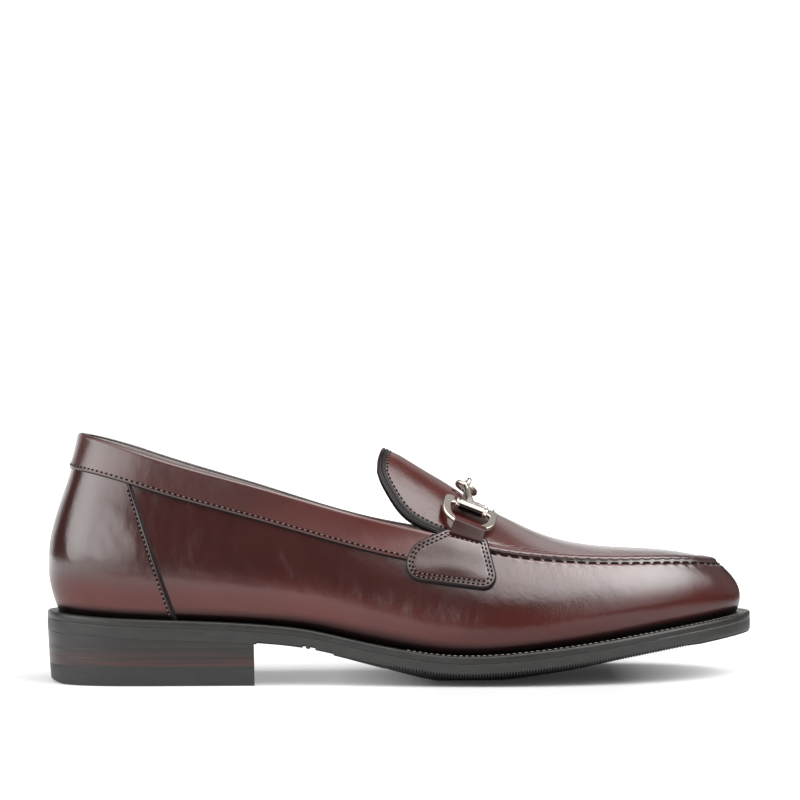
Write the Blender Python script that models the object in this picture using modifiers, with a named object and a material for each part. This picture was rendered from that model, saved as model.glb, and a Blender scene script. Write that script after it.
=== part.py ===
"""Right-foot loafer with an apron toe, a stacked heel and a snaffle bit across the instep.

Frame: metres, +X to the toe, -Y to the outer (lateral) side, +Z up, floor at Z = 0.
The tables are in millimetres. "along" is the share of a line's length from heel to toe.
"""
import bmesh
import bpy
import numpy as np
from mathutils import Matrix, Vector
from mathutils.bvhtree import BVHTree

MM = 0.001
LATERAL, MEDIAL = -1, 1


def table(names, *rows):
    """A short table: its columns by name."""
    return dict(zip(names.split(), np.array(rows, dtype=float).T))


# Driving sizes
HEEL_BACK, TOE_TIP = -150.3, 150.3
BREAST_X, BREAST_SLANT = -60.5, 0.975
SEAT_GAP, TAB_GAP = 0.3, 0.8
WELT_THICK = 3.1
SOLE_THICK = 8.3
INSOLE_THICK = 2.4
WELT_REACH = 15.0
WALL = 2.1
COUNTER_THICK, BAND_THICK, TAB_THICK, BINDING_THICK = 0.9, 1.1, 1.7, 0.9
BAND_WIDTH, BINDING_WIDTH = 14.0, 2.6
BINDING_START, BINDING_CLEAR, COUNTER_FOOT = 1.6, 0.15, 0.03
COLLAR_BACK_X, APRON_TOE_X = -135.0, 134.7
THROAT_X = 22.3
RIDGE_HEIGHT, RIDGE_HALF_WIDTH = 1.2, 2.2
RIDGE_START_X, RIDGE_FULL_X = 36.0, 44.0

# Edge of the sole in plan: reach to each side of the long axis
SOLE_PLAN = table(
    "along lateral medial",
    (0.00, 0.0, 0.0),
    (0.06, 28.0, 28.0),
    (0.15, 33.4, 33.4),
    (0.28, 35.6, 32.8),
    (0.42, 40.0, 30.8),
    (0.54, 46.6, 36.0),
    (0.64, 51.0, 45.6),
    (0.74, 50.4, 51.0),
    (0.84, 43.8, 48.0),
    (0.93, 30.2, 37.0),
    (1.00, -4.0, 4.0),
)

# Top face of the welt from the side: heel seat, waist, ball and toe spring
WELT_TOP = table(
    "x height",
    (-150, 30.4),
    (-115, 28.1),
    (-85, 26.9),
    (-56, 25.2),
    (-38, 23.1),
    (-20, 19.2),
    (0, 15.2),
    (16, 12.9),
    (32, 12.4),
    (55, 14.1),
    (82, 17.4),
    (113, 22.0),
    (150, 26.7),
)

# How far the middle of the sole hangs below its edges
SOLE_CROWN = table(
    "x drop",
    (-150, 0.0),
    (-62, 0.0),
    (-45, 0.5),
    (-10, 2.6),
    (16, 4.9),
    (31, 5.1),
    (46, 5.0),
    (80, 4.2),
    (125, 2.6),
    (150, 1.0),
)

# Feather line: how far the upper's foot stands in from the sole's edge
FEATHER = table(
    "along inset",
    (0.00, 5.8),
    (0.12, 4.8),
    (0.30, 4.2),
    (0.60, 5.4),
    (1.00, 6.0),
)

# Top edge of the wall: the collar as far as the throat, then the apron's seam
TOP_EDGE = table(
    "along reach lateral_height medial_height",
    (0.000, 0.0, 105.3, 105.3),
    (0.079, 23.6, 99.0, 99.0),
    (0.155, 26.7, 92.3, 92.1),
    (0.287, 29.6, 82.3, 80.9),
    (0.376, 31.0, 75.2, 73.0),
    (0.464, 32.3, 68.5, 66.4),
    (0.553, 33.4, 62.6, 61.6),
    (0.644, 35.4, 56.2, 56.2),
    (0.720, 36.0, 53.2, 53.2),
    (0.811, 34.6, 51.0, 51.0),
    (0.880, 31.2, 50.1, 50.1),
    (0.932, 26.2, 49.6, 49.6),
    (0.968, 19.6, 48.9, 48.9),
    (1.000, 0.0, 47.9, 47.9),
)
TOE_SWING = 3.0

# Belly of the wall: how far it stands out from the straight line between foot and top
BELLY = table(
    "along lateral medial rise fall",
    (0.00, 7.3, 7.3, 1.15, 2.10),
    (0.15, 4.9, 4.9, 1.05, 2.00),
    (0.35, 4.8, 6.4, 1.00, 1.90),
    (0.50, 5.2, 7.4, 1.00, 1.50),
    (0.62, 6.0, 7.0, 1.05, 1.15),
    (0.80, 6.8, 6.8, 1.10, 1.00),
    (0.92, 6.2, 6.2, 1.10, 0.95),
    (1.00, 5.8, 5.8, 1.10, 0.90),
)

# Arch of the apron between its seams: rise above them, and how far it leans to the toe
APRON = table(
    "along rise tilt",
    (0.583, 17.1, 31.0),
    (0.644, 12.3, 28.0),
    (0.720, 6.4, 15.0),
    (0.811, 3.3, 5.0),
    (0.880, 3.1, 0.0),
    (0.932, 2.5, 0.0),
    (0.968, 1.6, 0.0),
    (1.000, 0.0, 0.0),
)

# Tongue behind the throat: its edge on each side, and the arch above it
TONGUE = table(
    "x reach height rise",
    (15.7, 31.6, 62.4, 19.1),
    (8.4, 30.4, 65.0, 20.7),
    (2.2, 28.8, 68.4, 21.2),
    (-1.6, 26.9, 73.2, 19.0),
    (-4.6, 24.5, 78.4, 16.1),
    (-7.4, 21.2, 84.8, 12.4),
    (-9.0, 16.6, 90.4, 7.6),
)
TONGUE_TILT = 31.0

# Heel lifts, floor upwards: faces and how far each stands in from the sole's edge
HEEL_LIFTS = [
    ("heel_top_piece", 0.0, 7.9, 1.3, 0.8, "heel_rubber"),
    ("heel_lift_lower", 8.2, 11.9, 0.8, 0.6, "heel_leather"),
    ("heel_lift_middle", 12.2, 15.6, 0.6, 0.4, "heel_leather"),
    ("heel_lift_upper", 15.9, None, 0.4, 0.2, "heel_leather"),
]

# Tab on the side of the throat, seen from the side: corners and their radii
TAB_CORNERS = table(
    "x height radius",
    (0.4, 43.9, 7.0),
    (42.0, 38.4, 5.5),
    (37.0, 59.6, 1.5),
    (20.6, 64.0, 1.5),
    (5.4, 57.6, 10.0),
)

# Edges of the overlays, seen from the side: top and bottom end of each
COUNTER_FRONT = ((-112.3, 84.0), (-93.4, 28.0))
BAND_FRONT = ((10.9, 63.2), (-2.4, 51.4))

# Snaffle bit: middle of one barrel, and the link at the centre of the instep
BARREL_CENTRE = (30.6, -22.0, 72.2)
BARREL_SLOPE = 22.0
BARREL_LENGTH, BARREL_RADIUS, BARREL_BORE = 14.6, 2.3, 1.6
BEAD_RADIUS, BEAD_LENGTH = 2.6, 1.2
LINK_CENTRE = (29.2, 0.0, 80.1)
EYE_WIRE = 0.9
FLAT_EYE_RADIUS, UPRIGHT_EYE_RADIUS = 4.4, 2.35
BAR_ROOT_RADIUS, BAR_NECK_RADIUS = 2.0, 1.1

# Plate of the D-ring in its own plane: along the barrel, and down the instep from it
RING_THICK = 1.7
RING_OUTLINE = table(
    "x height radius",
    (-7.8, -1.0, 0.2),
    (-7.8, -3.2, 0.8),
    (-11.8, -3.2, 2.4),
    (-11.0, 10.6, 4.2),
    (11.0, 10.6, 4.2),
    (11.8, -3.2, 2.4),
    (7.8, -3.2, 0.8),
    (7.8, -1.0, 0.2),
)
RING_HOLE = table(
    "x height radius",
    (-8.9, 1.0, 1.2),
    (-8.7, 8.2, 2.4),
    (8.7, 8.2, 2.4),
    (8.9, 1.0, 1.2),
)

# Strap folded round the D-ring's lower bar: down the instep, and out of it
STRAP_WIDTH = 13.8
STRAP_OUTLINE = table(
    "x height radius",
    (-3.0, -2.3, 2.0),
    (-3.0, 2.4, 2.2),
    (1.2, 2.4, 1.6),
    (2.6, 0.9, 0.3),
    (2.6, -2.4, 0.3),
)
STRAP_HOLE = table(
    "x height radius",
    (-1.7, -1.15, 0.4),
    (-1.7, 1.15, 0.4),
    (1.6, 1.15, 0.4),
    (1.6, -1.15, 0.4),
)

FINISHES = {
    "upper_leather": ((0.060, 0.012, 0.012), 0.28, 0.0),
    "edge_leather": ((0.020, 0.008, 0.008), 0.45, 0.0),
    "lining_leather": ((0.42, 0.30, 0.27), 0.60, 0.0),
    "welt_leather": ((0.050, 0.042, 0.042), 0.60, 0.0),
    "sole_rubber": ((0.034, 0.032, 0.034), 0.70, 0.0),
    "heel_leather": ((0.070, 0.026, 0.020), 0.50, 0.0),
    "heel_rubber": ((0.020, 0.020, 0.022), 0.65, 0.0),
    "bit_metal": ((0.82, 0.74, 0.60), 0.18, 1.0),
}

# Mesh counts
COLLAR_STEPS, APRON_STEPS, WALL_ROWS, ARCH_STEPS = 17, 14, 9, 10
SOLE_STATIONS, HEEL_STATIONS, SOLE_ACROSS = 36, 14, 6
FINE = 4


def spline(knots, values, period=0.0):
    """Smooth curve through the knots, in cubic pieces; a closed one repeats after its period."""
    knots, values = np.asarray(knots, float), np.asarray(values, float)
    if period:
        knots = np.concatenate([knots - period, knots, knots + period])
        values = np.tile(values, 3)
    count, step = len(knots), np.diff(knots)
    slope = np.diff(values) / step
    system, right = np.eye(count), np.zeros(count)
    for i in range(1, count - 1):
        system[i, i - 1:i + 2] = step[i - 1], 2 * (step[i - 1] + step[i]), step[i]
        right[i] = 6 * (slope[i] - slope[i - 1])
    bend = np.linalg.solve(system, right)

    def at(where):
        where = np.mod(where, period) if period else np.asarray(where, float)
        i = np.clip(np.searchsorted(knots, where) - 1, 0, count - 2)
        after = (where - knots[i]) / step[i]
        before = 1 - after
        curve = (before ** 3 - before) * bend[i] + (after ** 3 - after) * bend[i + 1]
        return before * values[i] + after * values[i + 1] + curve * step[i] ** 2 / 6

    return at


def turn_of(along):
    """Angle around an outline, from the heel, at a share of its length."""
    return np.arccos(1 - 2 * np.asarray(along))


def around(rows, lateral, medial):
    """Closed curve of a table's column around the shoe: lateral side out, medial side back."""
    turn = turn_of(rows["along"])
    knots = np.concatenate([turn, 2 * np.pi - turn[-2:0:-1]])
    values = np.concatenate([lateral, medial[-2:0:-1]])
    return spline(knots, values, 2 * np.pi)


def even_around(rows, column):
    return around(rows, rows[column], rows[column])


sole_y = around(SOLE_PLAN, -SOLE_PLAN["lateral"], SOLE_PLAN["medial"])
welt_top = spline(WELT_TOP["x"], WELT_TOP["height"])
sole_crown = spline(SOLE_CROWN["x"], SOLE_CROWN["drop"])
feather_inset = even_around(FEATHER, "inset")
top_swing = TOE_SWING * TOP_EDGE["along"] ** 6
top_y = around(TOP_EDGE, top_swing - TOP_EDGE["reach"], top_swing + TOP_EDGE["reach"])
top_height = around(TOP_EDGE, TOP_EDGE["lateral_height"], TOP_EDGE["medial_height"])
belly = around(BELLY, BELLY["lateral"], BELLY["medial"])
belly_rise = even_around(BELLY, "rise")
belly_fall = even_around(BELLY, "fall")
apron_rise = spline(turn_of(APRON["along"]), APRON["rise"])
apron_tilt = spline(turn_of(APRON["along"]), np.radians(APRON["tilt"]))
tongue_edge = {key: spline(np.arange(len(TONGUE["x"])), TONGUE[key]) for key in TONGUE}
throat_turn = turn_of((THROAT_X - COLLAR_BACK_X) / (APRON_TOE_X - COLLAR_BACK_X))


def unit(vector):
    return vector / np.linalg.norm(vector)


def sole_normal(turn):
    """Direction straight out of the sole's edge, in plan."""
    small = 1e-3
    along = (TOE_TIP - HEEL_BACK) * np.sin(turn) / 2
    across = (sole_y(turn + small) - sole_y(turn - small)) / (2 * small)
    return unit(np.array([across, -along, 0.0]))


def sole_edge(turn, inset=0.0, height=0.0):
    """Point of the sole's edge, moved in along its normal."""
    x = HEEL_BACK + (TOE_TIP - HEEL_BACK) * (1 - np.cos(turn)) / 2
    return np.array([x, sole_y(turn), height]) - inset * sole_normal(turn)


def feather(turn):
    """Foot of the upper, standing on the welt."""
    foot = sole_edge(turn, feather_inset(turn))
    foot[2] = welt_top(foot[0]) + SEAT_GAP
    return foot


def top_edge(turn):
    """Top of the wall: collar and apron seam."""
    x = COLLAR_BACK_X + (APRON_TOE_X - COLLAR_BACK_X) * (1 - np.cos(turn)) / 2
    return np.array([x, top_y(turn), top_height(turn)])


def smooth_step(value, low, high):
    share = np.clip((value - low) / (high - low), 0.0, 1.0)
    return share * share * (3 - 2 * share)


def ridge(distance, x):
    """Height of the raised apron seam at a distance from its line."""
    share = min(abs(distance) / RIDGE_HALF_WIDTH, 1.0)
    start = smooth_step(x, RIDGE_START_X, RIDGE_FULL_X)
    return RIDGE_HEIGHT * start * np.cos(share * np.pi / 2) ** 2


def seam_up(turn):
    """Direction in which the apron seam stands up."""
    return unit(0.6 * sole_normal(turn) + np.array([0.0, 0.0, 0.8]))


def wall_height(turn):
    return np.linalg.norm(top_edge(turn) - feather(turn))


def wall(turn, level):
    """Outer face of the upper's wall, from the feather line (0) to the top edge (1)."""
    foot, top = feather(turn), top_edge(turn)
    rise, fall = belly_rise(turn), belly_fall(turn)
    peak = rise / (rise + fall)
    swell = level ** rise * (1 - level) ** fall / (peak ** rise * (1 - peak) ** fall)
    point = foot + (top - foot) * level + belly(turn) * swell * sole_normal(turn)
    return point + ridge((1 - level) * wall_height(turn), point[0]) * seam_up(turn)


def wall_normal(turn, level):
    small = 0.01
    low, high = max(level - small, 0.0), min(level + small, 1.0)
    along = wall(turn + small, level) - wall(turn - small, level)
    return unit(np.cross(along, wall(turn, high) - wall(turn, low)))


def arch(lateral, medial, across, rise, tilt):
    """Point of an arched row between two edges; across runs from -1 to 1."""
    middle = (lateral + medial) / 2
    up = np.array([np.sin(tilt), 0.0, np.cos(tilt)])
    return middle + (medial - lateral) / 2 * across + up * rise * (1 - abs(across) ** 2.1)


def apron(turn, across):
    """Outer face of the apron between the lateral and medial seam."""
    lateral, medial = top_edge(turn), top_edge(2 * np.pi - turn)
    point = arch(lateral, medial, across, apron_rise(turn), apron_tilt(turn))
    reach = np.linalg.norm(medial - lateral) / 2
    beside = reach * (1 - abs(across))
    ahead = max(APRON_TOE_X - point[0] - reach * 0.1, 0.0)
    side_turn = turn if across < 0 else 2 * np.pi - turn
    return point + ridge(min(beside, ahead), point[0]) * seam_up(side_turn)


def tongue(row, across):
    """Outer face of the tongue: rows count back from the throat, -1 being the throat itself."""
    edge = {key: curve(max(row, 0.0)) for key, curve in tongue_edge.items()}
    blend = max(-row, 0.0)
    lateral = np.array([edge["x"], -edge["reach"], edge["height"]])
    medial = np.array([edge["x"], edge["reach"], edge["height"]])
    lateral += (top_edge(throat_turn) - lateral) * blend
    medial += (top_edge(2 * np.pi - throat_turn) - medial) * blend
    rise = edge["rise"] + (apron_rise(throat_turn) - edge["rise"]) * blend
    return arch(lateral, medial, across, rise, np.radians(TONGUE_TILT))


def tongue_normal(row, across):
    """Direction straight out of the tongue's outer face."""
    small = 0.02
    last = len(TONGUE["x"]) - 1
    back = tongue(min(row + small, last), across) - tongue(row - small, across)
    side = tongue(row, min(across + small, 1.0)) - tongue(row, max(across - small, -1.0))
    return unit(np.cross(side, back))


def wall_turns(collar_steps, apron_steps):
    """Stations around the shoe, with one on each throat corner."""
    collar = np.linspace(0, throat_turn, collar_steps + 1)
    half = np.concatenate([collar, np.linspace(throat_turn, np.pi, apron_steps + 1)[1:]])
    return np.concatenate([half, 2 * np.pi - half[-2:0:-1]])


def across_steps(reach, count):
    """Places across an arched row, with a pair close to its seams."""
    foot = 1 - min(RIDGE_HALF_WIDTH / max(reach, 1e-6), 2 / count)
    return np.concatenate([[-1.0], np.linspace(-foot, foot, count - 1), [1.0]])


def new_row(bm, points):
    return [bm.verts.new(Vector(point) * MM) for point in points]


def join_rows(bm, low, high, closed=False):
    """Faces between two rows of vertices; a vertex shared by both rows gives a triangle."""
    count = len(low) if closed else len(low) - 1
    for i in range(count):
        j = (i + 1) % len(low)
        corners = []
        for vertex in (low[i], low[j], high[j], high[i]):
            if vertex not in corners:
                corners.append(vertex)
        if len(corners) > 2:
            bm.faces.new(corners)


def upper_sheet(fine=1, bridged=False):
    """Outer face of the upper as one open sheet: wall, apron and tongue."""
    bm = bmesh.new()
    collar_steps, apron_steps = COLLAR_STEPS * fine, APRON_STEPS * fine
    arch_steps, wall_rows = ARCH_STEPS * fine, WALL_ROWS * fine
    turns = wall_turns(collar_steps, apron_steps)
    columns = []
    for turn in turns:
        seam_foot = 1 - RIDGE_HALF_WIDTH / wall_height(turn)
        levels = np.append(np.linspace(0, seam_foot, wall_rows), 1.0)
        columns.append(new_row(bm, [wall(turn, level) for level in levels]))
    rows = list(zip(*columns))
    for low, high in zip(rows, rows[1:]):
        join_rows(bm, low, high, closed=True)
    top = rows[-1]
    toe = collar_steps + apron_steps
    arch_rows = []
    for i in range(collar_steps, toe):
        reach = abs(top_edge(turns[i])[1])
        inner = [apron(turns[i], w) for w in across_steps(reach, arch_steps)[1:-1]]
        arch_rows.append([top[i]] + new_row(bm, inner) + [top[-i]])
    arch_rows.append([top[toe]] * (arch_steps + 1))
    for back, front in zip(arch_rows, arch_rows[1:]):
        join_rows(bm, front, back)
    tongue_rows = [arch_rows[0]]
    for row in np.linspace(-1, len(TONGUE["x"]) - 1, len(TONGUE["x"]) * fine + 1)[1:]:
        places = across_steps(tongue_edge["reach"](max(row, 0)), arch_steps)
        tongue_rows.append(new_row(bm, [tongue(row, w) for w in places]))
    for front, back in zip(tongue_rows, tongue_rows[1:]):
        join_rows(bm, front, back)
    if bridged:
        for step in range(min(2 * fine, collar_steps)):
            for end, sign in ((0, 1), (-1, -1)):
                near, far = collar_steps - step, collar_steps - step - 1
                join_rows(bm, [top[sign * near], top[sign * far]],
                          [tongue_rows[step][end], tongue_rows[step + 1][end]])
    return bm


def sheet_from_grid(grid):
    bm = bmesh.new()
    rows = [new_row(bm, row) for row in grid]
    for low, high in zip(rows, rows[1:]):
        join_rows(bm, low, high)
    return bm


def add_part(name, bm, finish, smooth_angle=40.0):
    """A named object of the shoe from a mesh, with its material."""
    mesh = bpy.data.meshes.new(name)
    bm.to_mesh(mesh)
    bm.free()
    mesh.shade_smooth()
    mesh.set_sharp_from_angle(angle=np.radians(smooth_angle))
    mesh.materials.append(MATERIALS[finish])
    part = bpy.data.objects.new(name, mesh)
    PARTS.objects.link(part)
    return part


def add_shell(name, bm, finish, thick):
    """A part whose outer face is the sheet, given its thickness inwards."""
    part = add_part(name, bm, finish)
    shell = part.modifiers.new("wall", "SOLIDIFY")
    shell.thickness = thick * MM
    shell.offset = -1
    shell.use_quality_normals = True
    return part


def sole_layer(name, finish, turns, levels, across=2, slant=1.0):
    """A layer with the sole's outline.

    Levels run down, each an inset at a turn and a height at x and a share across.
    The slant shortens the medial side.
    """
    bm = bmesh.new()
    shares = np.linspace(-1, 1, across + 1)

    def row(turn, inset, height):
        ends = [sole_edge(angle, inset(angle)) for angle in (turn, 2 * np.pi - turn * slant)]
        points = [ends[0] + (ends[1] - ends[0]) * (share + 1) / 2 for share in shares]
        for point, share in zip(points, shares):
            point[2] = height(point[0], share)
        return points

    grids = []
    for number, (inset, height) in enumerate(levels):
        rows = []
        for turn in turns:
            points = row(turn, inset, height)
            if np.sin(turn) < 1e-6:
                rows.append(new_row(bm, points[:1]) * (across + 1))
            elif number in (0, len(levels) - 1) or turn == turns[-1]:
                rows.append(new_row(bm, points))
            else:
                rows.append(new_row(bm, points[:1]) + [None] * (across - 1) + new_row(bm, points[-1:]))
        grids.append(rows)
    for low, high in zip(grids, grids[1:]):
        rims = []
        for rows in (low, high):
            front = rows[-1] if np.sin(turns[-1]) > 1e-6 else rows[-1][:1]
            rims.append([r[0] for r in rows[:-1]] + front + [r[-1] for r in rows[-2:0:-1]])
        join_rows(bm, rims[0], rims[1], closed=True)
    for grid in (grids[0], grids[-1]):
        for back, front in zip(grid, grid[1:]):
            join_rows(bm, back, front)
    bmesh.ops.recalc_face_normals(bm, faces=bm.faces)
    return add_part(name, bm, finish, 30.0)


def constant(value):
    return lambda *_: value


def add_sole():
    """Outsole with arch, toe spring and a ball that is low in the middle."""
    joint = WELT_THICK + SEAT_GAP

    def bottom(x, share):
        hang = welt_top(x) - SOLE_THICK - sole_crown(x) * (1 - abs(share) ** 3)
        return max(hang, 0.0)

    def side(depth):
        return lambda x, share: welt_top(x) - depth

    turns = np.linspace(0, np.pi, SOLE_STATIONS + 1)
    levels = [
        (constant(0.5), side(joint)),
        (constant(0.0), side(joint + 0.5)),
        (constant(0.0), side(SOLE_THICK - 1.6)),
        (constant(0.9), bottom),
    ]
    sole_layer("outsole", "sole_rubber", turns, levels, SOLE_ACROSS)


def add_welt():
    """Welt: a strip all around between the outsole and the upper."""
    turns = np.linspace(0, 2 * np.pi, 2 * SOLE_STATIONS, endpoint=False)
    profile = [(0.5, 0.0), (0.1, 0.5), (0.1, WELT_THICK - 0.5), (0.5, WELT_THICK),
               (WELT_REACH, WELT_THICK), (WELT_REACH, 0.0)]
    bm = bmesh.new()
    rings = []
    for inset, depth in profile:
        points = [sole_edge(turn, inset) for turn in turns]
        for point in points:
            point[2] = welt_top(point[0]) - depth
        rings.append(new_row(bm, points))
    for low, high in zip(rings, rings[1:] + rings[:1]):
        join_rows(bm, low, high, closed=True)
    bmesh.ops.recalc_face_normals(bm, faces=bm.faces)
    add_part("welt", bm, "welt_leather", 30.0)


def add_insole():
    """Insole with its filling, a plug that drops into the welt."""
    rim_clear = 0.5

    def inside_upper(turn):
        return feather_inset(turn) + WALL + rim_clear

    plug = constant(WELT_REACH + SEAT_GAP)

    def above(lift):
        return lambda x, share: welt_top(x) + lift

    turns = np.linspace(0, np.pi, SOLE_STATIONS + 1)
    levels = [
        (inside_upper, above(INSOLE_THICK)),
        (inside_upper, above(SEAT_GAP)),
        (plug, above(SEAT_GAP)),
        (plug, above(-WELT_THICK)),
    ]
    sole_layer("insole", "lining_leather", turns, levels, 4)


def add_heel():
    """Stacked heel: three lifts, the upper one a wedge, and the top piece on the floor."""
    breast = turn_of((BREAST_X - HEEL_BACK) / (TOE_TIP - HEEL_BACK))
    turns = np.linspace(0, breast, HEEL_STATIONS + 1)

    def seat(x, share):
        return welt_top(x) - SOLE_THICK - SEAT_GAP

    for name, low, high, low_inset, high_inset, finish in HEEL_LIFTS:
        top = seat if high is None else constant(high)
        levels = [(constant(high_inset), top), (constant(low_inset), constant(low))]
        sole_layer(name, finish, turns, levels, slant=BREAST_SLANT)


def turn_limit(level, line):
    """Angle at which the lateral wall, at one level, crosses a straight line seen from the side."""
    (top_x, top_z), (low_x, low_z) = line
    low, high = 0.05, throat_turn
    for _ in range(40):
        middle = (low + high) / 2
        x, _, z = wall(middle, level)
        share = (z - low_z) / (top_z - low_z)
        if x < low_x + (top_x - low_x) * share:
            low = middle
        else:
            high = middle
    return low


def overlay_sheet(front, level_at, rows, stations, lift):
    """Sheet laid on the wall around the heel, ended on both sides by a line."""
    grid = []
    for share in np.linspace(0, 1, rows):
        limit = throat_turn
        for _ in range(4):
            limit = turn_limit(level_at(limit, share), front)
        row = []
        for turn in np.linspace(-limit, limit, stations):
            level = level_at(turn, share)
            row.append(wall(turn, level) + lift * wall_normal(turn, level))
        grid.append(row)
    return sheet_from_grid(grid)


def add_counter():
    """Heel counter, laid on the wall below the collar band."""
    def level(turn, share):
        top = 1 - (BAND_WIDTH + SEAT_GAP) / wall_height(turn)
        return COUNTER_FOOT + (top - COUNTER_FOOT) * share

    sheet = overlay_sheet(COUNTER_FRONT, level, 8, 21, SEAT_GAP + COUNTER_THICK)
    add_shell("heel_counter", sheet, "upper_leather", COUNTER_THICK)


def add_band():
    """Collar band, laid on the wall along the collar."""
    def level(turn, share):
        return 1 - BAND_WIDTH / wall_height(turn) * (1 - share)

    sheet = overlay_sheet(BAND_FRONT, level, 4, 45, SEAT_GAP + BAND_THICK)
    add_shell("collar_band", sheet, "upper_leather", BAND_THICK)


def add_binding():
    """Binding sewn round the tongue's edge."""
    last = len(TONGUE["x"]) - 1
    side_rows = np.linspace(BINDING_START, last, 13)
    path = [(row, -1.0) for row in side_rows]
    path += [(last, w) for w in np.linspace(-1, 1, 9)[1:-1]]
    path += [(row, 1.0) for row in side_rows[::-1]]
    edge = [tongue(row, w) for row, w in path]
    outer, inner = [], []
    for i, (row, w) in enumerate(path):
        forward = unit(edge[min(i + 1, len(edge) - 1)] - edge[max(i - 1, 0)])
        normal = tongue_normal(row, w)
        inward = unit(np.cross(forward, normal))
        lifted = edge[i] + normal * (SEAT_GAP + BINDING_THICK)
        outer.append(lifted)
        inner.append(lifted + inward * BINDING_WIDTH + normal * BINDING_CLEAR)
    bm = sheet_from_grid([inner, outer])
    add_shell("tongue_binding", bm, "edge_leather", BINDING_THICK)


def rounded_outline(corners, steps=5):
    """Closed outline through corners that are rounded by arcs."""
    places = np.stack([corners["x"], corners["height"]], axis=1)
    points = []
    for i, corner in enumerate(places):
        back = unit(places[i - 1] - corner)
        ahead = unit(places[(i + 1) % len(places)] - corner)
        half = np.arccos(np.clip(back.dot(ahead), -1, 1)) / 2
        centre = corner + unit(back + ahead) * corners["radius"][i] / np.sin(half)
        start = corner + back * corners["radius"][i] / np.tan(half) - centre
        end = corner + ahead * corners["radius"][i] / np.tan(half) - centre
        for share in np.linspace(0, 1, steps):
            points.append(centre + unit(start * (1 - share) + end * share) * corners["radius"][i])
    return np.array(points)


def even_outline(points, count):
    """The same closed outline with evenly spaced points."""
    closed = np.vstack([points, points[:1]])
    length = np.concatenate([[0], np.cumsum(np.linalg.norm(np.diff(closed, axis=0), axis=1))])
    places = np.linspace(0, length[-1], count, endpoint=False)
    return np.stack([np.interp(places, length, closed[:, k]) for k in (0, 1)], axis=1)


def on_upper(surface, x, height, side):
    """Point and outward normal of the upper where a side view shows x and height."""
    start = Vector((x, side * 90.0, height)) * MM
    place, normal, _, _ = surface.ray_cast(start, Vector((0, -side, 0)))
    normal = normal if normal.y * side > 0 else -normal
    return np.array(place) / MM, np.array(normal)


def add_tab(name, surface, side):
    """Shield-shaped tab over the throat's corner, laid on quarter and apron."""
    outline = even_outline(rounded_outline(TAB_CORNERS), 32)
    middle = outline.mean(axis=0)
    bm = bmesh.new()
    rows = []
    for share in (1.0, 0.84, 0.66, 0.48, 0.30, 0.12):
        points = []
        for x, height in middle + (outline - middle) * share:
            place, normal = on_upper(surface, x, height, side)
            points.append(place + normal * (TAB_GAP + TAB_THICK))
        rows.append(new_row(bm, points))
    for low, high in zip(rows, rows[1:]):
        join_rows(bm, low, high, closed=True)
    bm.faces.new(rows[-1])
    if side == MEDIAL:
        bmesh.ops.reverse_faces(bm, faces=bm.faces)
    add_shell(name, bm, "upper_leather", TAB_THICK)


def frame_at(origin, first, second):
    """Placement with its X along first and its Y as near as can be to second."""
    x = unit(np.array(first))
    y = unit(np.array(second) - x * x.dot(second))
    z = np.cross(x, y)
    rows = np.stack([x, y, z, np.array(origin) * MM], axis=1)
    return Matrix([*rows.tolist(), [0, 0, 0, 1]])


def join_solids(base, others, operation="UNION"):
    """Add the other solids to the base, or cut them out of it."""
    for other in others:
        boolean = base.modifiers.new(other.name, "BOOLEAN")
        boolean.operation = operation
        boolean.object = other


def solid(name, bm, finish, matrix):
    """A closed part built in its own frame and placed by a matrix."""
    bmesh.ops.recalc_face_normals(bm, faces=bm.faces)
    part = add_part(name, bm, finish)
    part.matrix_world = matrix
    return part


def helper(name, bm, matrix):
    """A solid that only serves to shape another."""
    part = solid(name, bm, "bit_metal", matrix)
    PARTS.objects.unlink(part)
    CUTTERS.objects.link(part)
    part.hide_render = True
    part.display_type = "WIRE"
    return part


def rod(radius_low, radius_high, length, sides=14):
    """Round rod along Z from the origin."""
    bm = bmesh.new()
    bmesh.ops.create_cone(bm, cap_ends=True, segments=sides, radius1=radius_low * MM,
                          radius2=radius_high * MM, depth=length * MM,
                          matrix=Matrix.Translation((0, 0, length / 2 * MM)))
    return bm


def eye_ring(radius, around_steps=20, wire_steps=8):
    """Ring in the local XY plane."""
    bm = bmesh.new()
    rings = []
    for a in np.linspace(0, 2 * np.pi, around_steps, endpoint=False):
        points = []
        for b in np.linspace(0, 2 * np.pi, wire_steps, endpoint=False):
            reach = radius + EYE_WIRE * np.cos(b)
            points.append((reach * np.cos(a), reach * np.sin(a), EYE_WIRE * np.sin(b)))
        rings.append(new_row(bm, points))
    for low, high in zip(rings, rings[1:] + rings[:1]):
        join_rows(bm, low, high, closed=True)
    return bm


def bit_axes(side):
    """Directions at one side of the bit: along the barrel, down the instep and out of it."""
    slope = np.radians(BARREL_SLOPE)
    along = np.array([np.cos(slope), 0.0, -np.sin(slope)])
    down = np.array([-0.295, 0.82 * side, -0.49])
    down = unit(down - along * along.dot(down))
    out = np.cross(along, down) * side
    return along, down, out


def on_side(point, side):
    """A lateral point, or its mirror image on the medial side."""
    return np.array([point[0], -point[1] * side, point[2]])


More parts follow.
